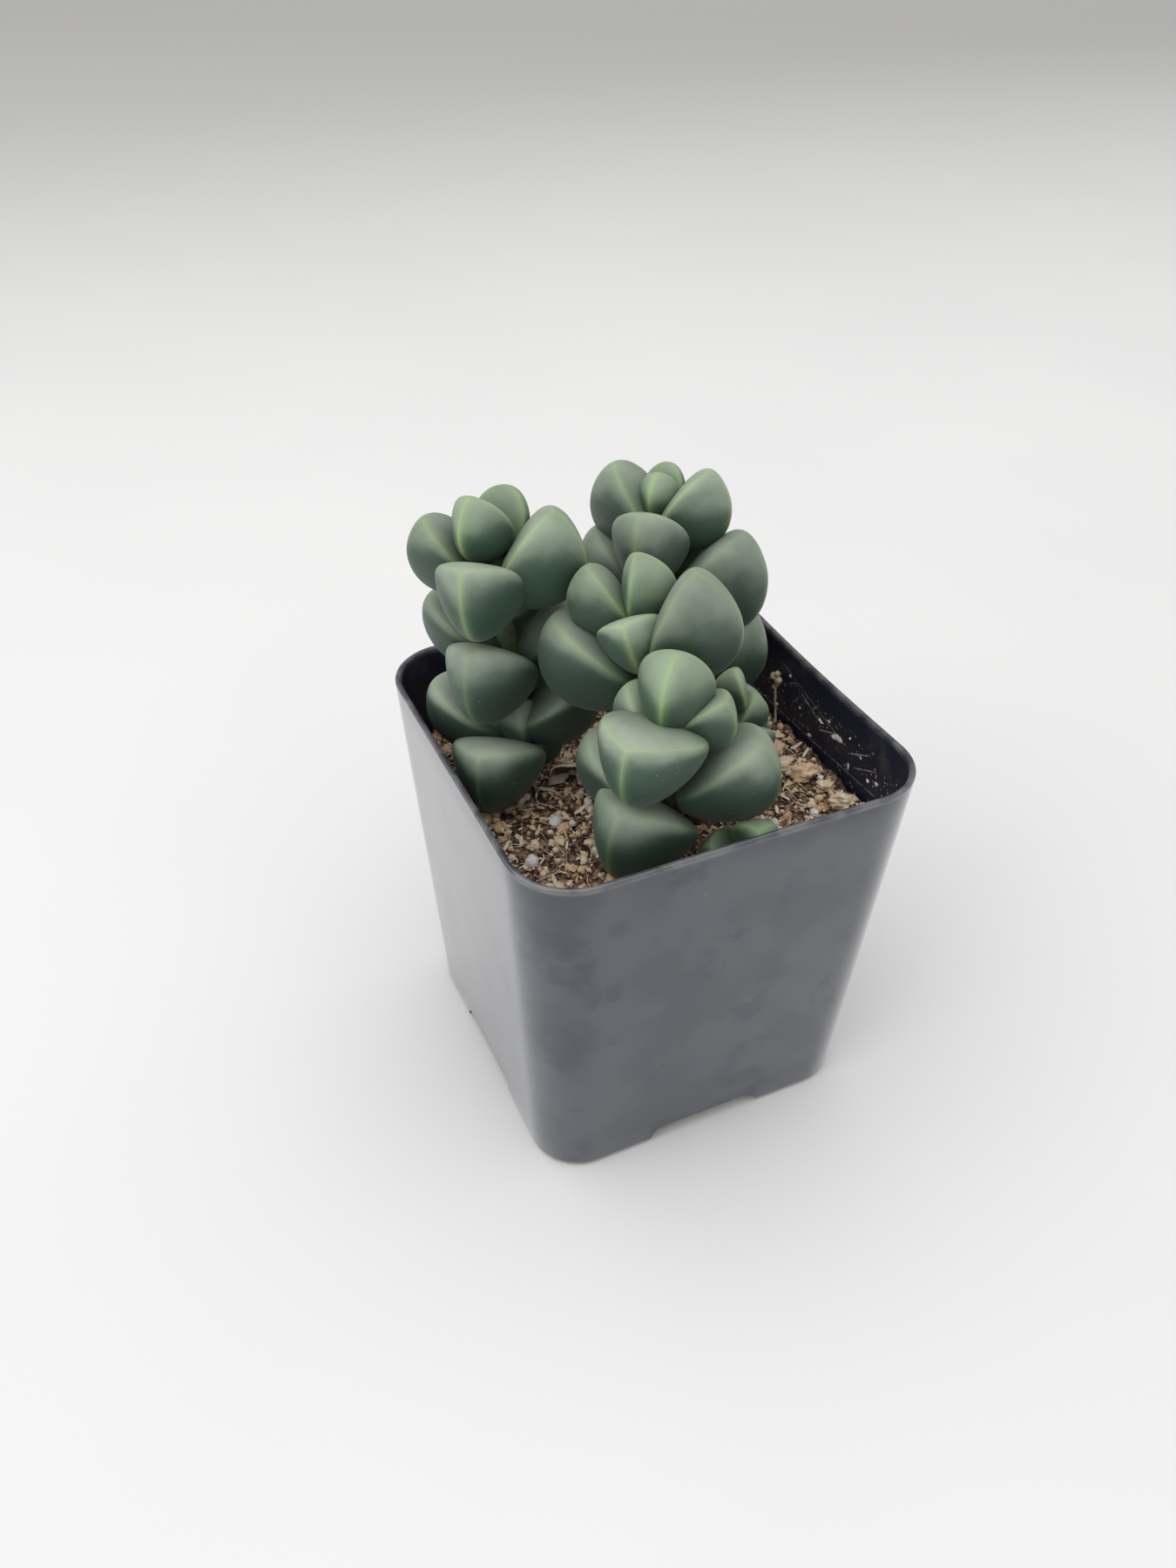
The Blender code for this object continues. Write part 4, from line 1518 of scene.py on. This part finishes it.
    def bed(self) -> bmesh.types.BMesh:
        """The bed: a rough top on a block that fills the pot down to its raised floor.

        Returns:
            The mesh in the making.
        """
        form = bmesh.new()
        bmesh.ops.create_grid(form, x_segments=self.steps, y_segments=self.steps, size=1.0)
        rims = [edge for edge in form.edges if edge.is_boundary]
        skirt = bmesh.ops.extrude_edge_only(form, edges=rims)["geom"]
        lower = {item for item in skirt if isinstance(item, bmesh.types.BMVert)}
        for vert in form.verts:
            if vert in lower:
                vert.co = self.spot(vert.co.x, vert.co.y, self.low)
            else:
                place = self.spot(vert.co.x, vert.co.y, self.level)
                vert.co = (place.x, place.y, self.rough_height(place.x, place.y))
        bmesh.ops.holes_fill(form, edges=[edge for edge in form.edges if edge.is_boundary], sides=0)
        bmesh.ops.recalc_face_normals(form, faces=form.faces)
        grow = self.low
        whole = bmesh.new()
        whole.from_mesh(cut(form, [self.pot.bar(grow, 0), self.pot.bar(grow, 1)]))
        return whole

    def lump(self, subdivisions: int, seed: int) -> bpy.types.Mesh:
        """A lumpy crumb of size 1.

        Args:
            subdivisions: How fine its mesh is.
            seed: Which lump it is.

        Returns:
            The mesh.
        """
        form = bmesh.new()
        bmesh.ops.create_icosphere(form, subdivisions=subdivisions, radius=1.0)
        fineness, strength = self.lump_relief
        for vert in form.verts:
            push = noise.noise(vert.co * fineness + offset_for(seed, 9.0))
            vert.co *= 1.0 + strength * push
        return shape(form, "crumb")

    def chunk(self, seed: int) -> bpy.types.Mesh:
        """A ragged fibrous piece of coir of size 1.

        Args:
            seed: Which chunk it is.

        Returns:
            The mesh.
        """
        form = bmesh.new()
        bmesh.ops.create_icosphere(form, subdivisions=4, radius=1.0)
        offset = offset_for(seed, 9.0)
        fineness, strength = self.chunk_relief
        for vert in form.verts:
            push = strength * noise.noise(vert.co * fineness + offset)
            streak = vert.co * Vector(self.streak_fineness) + offset
            vert.co *= relief(streak, self.streak_layers, 1.0 + push)
        return shape(form, "chunk")

    def flake(self, seed: int) -> bpy.types.Mesh:
        """A thin bent husk flake, 2 long and 2 wide.

        Args:
            seed: Which flake it is.

        Returns:
            The mesh.
        """
        form = bmesh.new()
        bmesh.ops.create_grid(form, x_segments=4, y_segments=2, size=1.0)
        offset = offset_for(seed, 7.0)
        for vert in form.verts:
            taper = 1.0 - self.flake_taper * abs(vert.co.x) ** 3
            fineness, strength = self.flake_bend
            bend = strength * noise.noise(vert.co * fineness + offset)
            bend += self.flake_curl * vert.co.x ** 2
            fineness, strength = self.flake_ragged
            ragged = strength * noise.noise(vert.co * fineness + offset)
            vert.co = (vert.co.x + ragged, (vert.co.y + ragged) * taper, bend)
        bmesh.ops.solidify(form, geom=form.faces[:], thickness=self.flake_thick)
        bmesh.ops.recalc_face_normals(form, faces=form.faces)
        return shape(form, "flake")

    def fibre(self, seed: int) -> bpy.types.Mesh:
        """A thin wavy fibre, 2 long.

        Args:
            seed: Which fibre it is.

        Returns:
            The mesh.
        """
        form = bmesh.new()
        turn = Matrix.Rotation(QUARTER_TURN, 4, "Y")
        bmesh.ops.create_cone(form, cap_ends=True, segments=4, radius1=self.fibre_radii[0],
                              radius2=self.fibre_radii[1], depth=2.0, matrix=turn)
        sides = [edge for edge in form.edges if edge.calc_length() > 1.0]
        bmesh.ops.subdivide_edges(form, edges=sides, cuts=self.fibre_cuts)
        offset = offset_for(seed, 5.0)
        fineness, aside, upward = self.fibre_waves
        for vert in form.verts:
            wave = noise.noise_vector(Vector((vert.co.x * fineness, 0, 0)) + offset)
            vert.co += Vector((0, aside * wave.y, upward * wave.z))
        return shape(form, "fibre")

    def strew(self, kind: CrumbKind, shapes: Sequence[bpy.types.Mesh], chance: random.Random,
              places: Sequence[Triple] = ()) -> bmesh.types.BMesh:
        """Strew one kind of bit over the bed.

        Args:
            kind: How many there are, and their sizes.
            shapes: The shapes that are drawn from.
            chance: The draws.
            places: Bits at given places first: X, Y and size in millimetres.

        Returns:
            The mesh in the making, with each bit's tone.
        """
        form = bmesh.new()
        tones = layer(form, "tone")
        fixed = [(Vector((x, y, 0)) * MM, size) for x, y, size in places]
        least, most = kind.sizes
        across = (-self.spread, self.spread)
        for _ in range(kind.count):
            place = self.spot(chance.uniform(*across), chance.uniform(*across), self.level)
            fixed.append((place, least + (most - least) * chance.random() ** 2))
        tilt = math.radians(kind.tilt)
        limit = self.outline.half(self.level) - self.inset - self.wall_gap
        for place, size in fixed:
            turn = Euler((chance.uniform(-tilt, tilt), chance.uniform(-tilt, tilt),
                          chance.uniform(0, FULL_TURN))).to_matrix().to_4x4()
            turn @= Matrix.Diagonal((*(size * MM * part for part in kind.stretch), 1.0))
            middle = Vector((place.x, place.y, self.height(place.x, place.y)))
            middle.z += kind.lift * size * MM * chance.uniform(*self.lift_span)
            tone = chance.uniform(*kind.tones)
            for vert in add_copy(form, chance.choice(shapes)):
                vert.co = Matrix.Translation(middle) @ turn @ vert.co
                vert.co.x = max(-limit, min(limit, vert.co.x))
                vert.co.y = max(-limit, min(limit, vert.co.y))
                vert[tones] = tone
        return form

    def build(self, ground: bpy.types.Material, coir: bpy.types.Material,
              perlite: bpy.types.Material) -> list[bpy.types.Object]:
        """Make the bed and the bits on it.

        Args:
            ground: The bed's material.
            coir: The crumbs' material.
            perlite: The white grains' material.

        Returns:
            The pieces.
        """
        chance = random.Random(self.seed)
        bed = link(self.bed(), "soil_bed", [ground])
        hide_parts("potting_soil")
        few, more = range(self.few_shapes), range(self.more_shapes)
        large = [self.lump(2, seed) for seed in few]
        bits = (
            ("soil_crumbs", self.lumps, [self.lump(1, seed) for seed in few], coir, False, ()),
            ("soil_clods", self.clods, large, coir, True, ()),
            ("soil_coir_chunks", self.chunks, [self.chunk(seed) for seed in few], coir, True,
             self.placed_chunks),
            ("soil_husk_flakes", self.flakes, [self.flake(seed) for seed in more], coir, False, ()),
            ("soil_fibres", self.fibres, [self.fibre(seed) for seed in more], coir, True, ()),
            ("perlite_grains", self.grains, large, perlite, True, self.placed_grains))
        pieces = [bed]
        for name, kind, shapes, skin, smooth, places in bits:
            pieces.append(link(self.strew(kind, shapes, chance, places), name, [skin], smooth))
        return pieces


@dataclass
class DryLeaf:
    """A papery hood on the soil, closing towards the back, its open front end raised."""

    place: tuple[float, float] = (-10.2 * MM, 4.6 * MM)
    turn: float = math.radians(-30)
    tilt: float = math.radians(-28)
    radius: float = 3.5 * MM
    thick: float = 0.42 * MM
    length: float = 4.6 * MM
    sweep: float = math.radians(196)
    closing: float = 0.92
    squares: tuple[int, int] = (44, 18)
    end_share: float = 0.55
    ragged: Span = (7.0, 0.18)
    ragged_slice: float = 2.0
    waves: Triple = (4.0, 1.6, 0.16)

    def build(self, soil: PottingSoil, skin: bpy.types.Material) -> bpy.types.Object:
        """Make the leaf.

        Args:
            soil: The bed that it lies on.
            skin: Its material.

        Returns:
            The piece.
        """
        form = bmesh.new()
        bmesh.ops.create_grid(form, x_segments=self.squares[0], y_segments=self.squares[1], size=1.0)
        fineness, strength = self.ragged
        round_waves, along_waves, depth = self.waves
        for vert in form.verts:
            share = (vert.co.x + 1) / 2
            bulge = (1.0 - self.end_share) * math.sin(math.pi * share)
            half = self.length / 2 * (self.end_share + bulge)
            torn = noise.noise(Vector((share * fineness, vert.co.y, self.ragged_slice)))
            ragged = 1.0 + strength * torn
            wave = depth * noise.noise(Vector((share * round_waves, vert.co.y * along_waves, 0.0)))
            back = (vert.co.y + 1) / 2
            radius = self.radius * (1.0 + wave) * math.sqrt(1.0 - self.closing * back ** 2)
            angle = self.sweep * (share - 0.5)
            vert.co = (radius * math.sin(angle), vert.co.y * half * ragged, radius * math.cos(angle))
        bmesh.ops.solidify(form, geom=form.faces[:], thickness=self.thick)
        bmesh.ops.recalc_face_normals(form, faces=form.faces)
        lean = Matrix.Rotation(self.turn, 4, "Z") @ Matrix.Rotation(self.tilt, 4, "X")
        move = Matrix.Translation((*self.place, 0)) @ lean
        bmesh.ops.transform(form, matrix=move, verts=form.verts)
        seat = min(vert.co.z - soil.height(vert.co.x, vert.co.y) for vert in form.verts)
        bmesh.ops.translate(form, verts=form.verts, vec=(0, 0, -seat))
        piece = link(form, "curled_dry_leaf", [skin])
        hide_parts("dry_leaf")
        return piece


@dataclass
class DriedSprig:
    """A dried twig with small seed heads, standing in the soil against the right wall."""

    foot: Vector = field(default_factory=lambda: Vector((28.6, 6.4, 51.5)) * MM)
    head: Vector = field(default_factory=lambda: Vector((29.1, 8.2, 60.2)) * MM)
    radius: float = 0.24 * MM
    thinning: float = 0.7
    sides: int = 10
    cuts: int = 26
    fine_waves: Span = (0.9 * MM, 0.16 * MM)
    long_waves: Span = (3.0 * MM, 0.25 * MM)
    bud_waves: Span = (0.6 * MM, 0.10 * MM)
    bud_lobes: int = 5
    lobe_depth: float = 0.10
    bud_out: float = 0.25
    bud_up: float = 0.5
    buds: tuple[Triple, ...] = (
        (0.48, 0.36, 190), (0.66, 0.30, 20), (0.78, 0.50, 350), (0.88, 0.42, 200),
        (0.97, 0.85, 10), (0.96, 0.72, 175), (1.03, 0.60, 90))

    def build(self, skin: bpy.types.Material) -> bpy.types.Object:
        """Make the twig and its seed heads.

        Args:
            skin: Its material.

        Returns:
            The piece.
        """
        form = bmesh.new()
        axis = self.head - self.foot
        turn = Vector((0, 0, 1)).rotation_difference(axis).to_matrix().to_4x4()
        bmesh.ops.create_cone(form, cap_ends=True, segments=self.sides, radius1=self.radius,
                              radius2=self.thinning * self.radius, depth=axis.length,
                              matrix=Matrix.Translation((self.foot + self.head) / 2) @ turn)
        sides = [edge for edge in form.edges if edge.calc_length() > axis.length / 2]
        bmesh.ops.subdivide_edges(form, edges=sides, cuts=self.cuts)
        for vert in form.verts:
            vert.co += wander(vert.co, *self.fine_waves) + wander(vert.co, *self.long_waves)
        for number, (share, radius, degrees) in enumerate(self.buds):
            angle = math.radians(degrees)
            side = Vector((self.bud_out * math.sin(angle), math.cos(angle),
                           self.bud_up * math.sin(angle)))
            middle = self.foot + axis * share + side * (self.radius + 0.5 * radius * MM)
            made = bmesh.ops.create_icosphere(form, subdivisions=3, radius=radius * MM,
                                              matrix=Matrix.Translation(middle))
            for vert in made["verts"]:
                out = vert.co - middle
                lobes = math.cos(self.bud_lobes * math.atan2(out.z, out.y) + number)
                vert.co = middle + out * (1.0 - self.lobe_depth + self.lobe_depth * lobes)
                vert.co += wander(vert.co, *self.bud_waves)
        piece = link(form, "dried_seed_sprig", [skin])
        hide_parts("dried_sprig")
        return piece


@dataclass
class MineralCrust:
    """Small dried white flakes stuck to the inside of the right wall."""

    pot: NurseryPot = field(default_factory=NurseryPot)
    flakes: tuple[Ramp, ...] = (
        (-9.1, 58.7, 1.15, 0.50), (-8.0, 58.2, 0.55, 0.35), (-4.1, 58.8, 0.75, 0.16),
        (6.0, 61.5, 0.30, 0.25), (-15.1, 59.1, 0.32, 0.28), (-17.7, 56.4, 0.42, 0.28),
        (-19.8, 57.3, 0.30, 0.30), (-12.7, 55.7, 0.16, 0.55), (-1.6, 54.6, 0.45, 0.25),
        (2.0, 57.6, 0.28, 0.18), (-6.2, 60.1, 0.24, 0.16), (-11.6, 60.4, 0.20, 0.22))
    thick: float = 0.14 * MM
    waves: Span = (0.5 * MM, 0.35 * MM)
    bulge: float = 0.1

    def build(self, crust: bpy.types.Material) -> bpy.types.Object:
        """Make the flakes.

        Args:
            crust: Their material.

        Returns:
            The piece.
        """
        form = bmesh.new()
        outline = self.pot.outline
        for y, z, wide, tall in self.flakes:
            level = z * MM
            wall = outline.bowed(Vector((outline.half(level) - self.pot.wall, y * MM, level)))
            size = Matrix.Diagonal((self.thick, wide * MM, tall * MM, 1.0))
            made = bmesh.ops.create_icosphere(form, subdivisions=3, radius=1.0,
                                              matrix=Matrix.Translation(wall) @ size)
            for vert in made["verts"]:
                push = wander(vert.co, *self.waves)
                vert.co += Vector((self.bulge * push.x, push.y, push.z))
        piece = link(form, "mineral_flakes", [crust])
        return piece


@dataclass
class Studio:
    """A plain pale sweep, soft light from above and the left, and the camera."""

    paper: Color = (0.845, 0.845, 0.842)
    paler_paper: Color = (0.865, 0.865, 0.860)
    falloff_shade_paper: Color = (0.560, 0.555, 0.545)
    mottling: Spots = Spots(0.12, 0.3, 0.7, Grain.SOFT)
    falloff_y: Span = (0.15, 0.90)
    falloff_share: float = 0.95
    floor_half: float = 1.6
    floor_back: float = 1.15
    floor_side: float = 2.4
    floor_steps: int = 48
    sweep_radius: float = 0.9
    wall_height: float = 1.2
    lens: float = 29.37
    sensor: float = 36.0
    nearest: float = 0.01
    aim: Triple = (0.0, 0.0, 0.05)
    eye: Triple = (-0.0753, -0.1405, 0.1790)
    yaw: float = math.radians(25.15)
    pitch: float = math.radians(38.46)
    roll: float = math.radians(0.78)
    world: float = 0.74
    lamps: tuple[tuple[str, Triple, float, float], ...] = (
        ("overhead", (-0.20, 0.05, 1.0), 1.5, 5.0),
        ("left", (-0.9, -0.1, 0.6), 0.9, 2.4))

    def floor_paint(self) -> bpy.types.Material:
        """Plain off-white paper with the faintest mottling, and painted shade that darkens it far
        behind, as the light falls off.

        Returns:
            The material.
        """
        p = Painter("pale_paper")
        color = p.mix(self.paper, self.paler_paper, p.spots(self.mottling))
        # Painted shade: the paper darkens towards the back, as the light falls off.
        far = p.rise(p.axes(p.place())[1], *self.falloff_y) * self.falloff_share
        return p.finish(Base_Color=p.mix(color, self.falloff_shade_paper, far), Roughness=0.75)

    def sweep(self) -> bpy.types.Object:
        """The floor that curves up into a backdrop behind the pot.

        Returns:
            The floor.
        """
        form = bmesh.new()
        bmesh.ops.create_grid(form, x_segments=2, y_segments=self.floor_steps, size=1.0)
        arc = self.sweep_radius * QUARTER_TURN
        total = self.floor_half + self.floor_back + arc + self.wall_height
        for vert in form.verts:
            run = (vert.co.y + 1) / 2 * total - self.floor_half
            bend = max(0.0, min(arc, run - self.floor_back)) / self.sweep_radius
            rise = max(0.0, run - self.floor_back - arc)
            y = min(run, self.floor_back) + self.sweep_radius * math.sin(bend)
            z = self.sweep_radius * (1 - math.cos(bend)) + rise
            vert.co = (vert.co.x * self.floor_side, y, z)
        bmesh.ops.rotate(form, verts=form.verts, matrix=Matrix.Rotation(-self.yaw, 3, "Z"))
        mesh = shape(form, "floor")
        mesh.materials.append(self.floor_paint())
        mesh.shade_smooth()
        floor = bpy.data.objects.new("floor", mesh)
        bpy.context.scene.collection.objects.link(floor)
        return floor

    def light(self, name: str, place: Triple, size: float, power: float) -> None:
        """A square soft light aimed at the middle of the plant.

        Args:
            name: The light's name.
            place: Where its middle is, in metres.
            size: How wide it is, in metres.
            power: Its power in watts.
        """
        lamp = bpy.data.lights.new(name, "AREA")
        lamp.shape = "SQUARE"
        lamp.size = size
        lamp.energy = power
        item = bpy.data.objects.new(name, lamp)
        item.location = place
        aim = Vector(self.aim) - Vector(place)
        item.rotation_euler = aim.to_track_quat("-Z", "Y").to_euler()
        bpy.context.scene.collection.objects.link(item)

    def camera(self) -> None:
        """The camera at the photograph's angle."""
        view = bpy.data.cameras.new("camera")
        view.sensor_fit = "VERTICAL"
        view.sensor_height = self.sensor
        view.lens = self.lens
        view.clip_start = self.nearest
        item = bpy.data.objects.new("camera", view)
        ahead = Vector((math.sin(self.yaw) * math.cos(self.pitch),
                        math.cos(self.yaw) * math.cos(self.pitch), -math.sin(self.pitch)))
        level = ahead.to_track_quat("-Z", "Y").to_matrix().to_4x4()
        turn = Matrix.Rotation(-self.roll, 4, ahead) @ level
        item.matrix_world = Matrix.Translation(self.eye) @ turn
        bpy.context.scene.collection.objects.link(item)
        bpy.context.scene.camera = item

    def build(self) -> None:
        """Set the stage."""
        scene = bpy.context.scene
        scene.view_settings.view_transform = "Standard"
        world = bpy.data.worlds.new("soft_white")
        world.use_nodes = True
        background = world.node_tree.nodes["Background"]
        background.inputs["Color"].default_value = (1.0, 1.0, 1.0, 1.0)
        background.inputs["Strength"].default_value = self.world
        scene.world = world
        self.sweep()
        for lamp in self.lamps:
            self.light(*lamp)
        self.camera()


def report(piece: bpy.types.Object) -> None:
    """Log a piece and its triangles."""
    piece.data.calc_loop_triangles()
    LOG.info("%s: %d triangles", piece.name, len(piece.data.loop_triangles))


def main() -> None:
    """Build and dress every piece."""
    logging.basicConfig(level=logging.INFO, format="%(message)s")
    # Without a seed of its own, vector noise takes one from the clock and varies from run to run
    noise.seed_set(NOISE_SEED)
    Studio().build()
    pot = NurseryPot()
    report(pot.dress(pot.build(), PotPlastic().paint()))
    soil = PottingSoil()
    perlite = PerliteGrain().paint()
    for piece in soil.build(MixGround().paint(), CoirCrumb().paint(), perlite):
        report(piece)
    form = LeafForm()
    unit = shape(form.unit(), "leaf")
    skin, bark = LeafSkin().paint(), StemBark().paint()
    for shoot in SHOOTS:
        report(shoot.dress(shoot.build(form, unit), skin, bark))
    papery = DrySkin("papery_dry_leaf", (0.74, 0.62, 0.46), (0.035, 0.020, 0.013)).paint()
    report(DryLeaf().build(soil, papery))
    twiggy = DrySkin("dry_sprig_bark", (0.58, 0.49, 0.35), (0.10, 0.070, 0.045)).paint()
    report(DriedSprig().build(twiggy))
    report(MineralCrust().build(perlite))


if __name__ == "__main__":
    main()
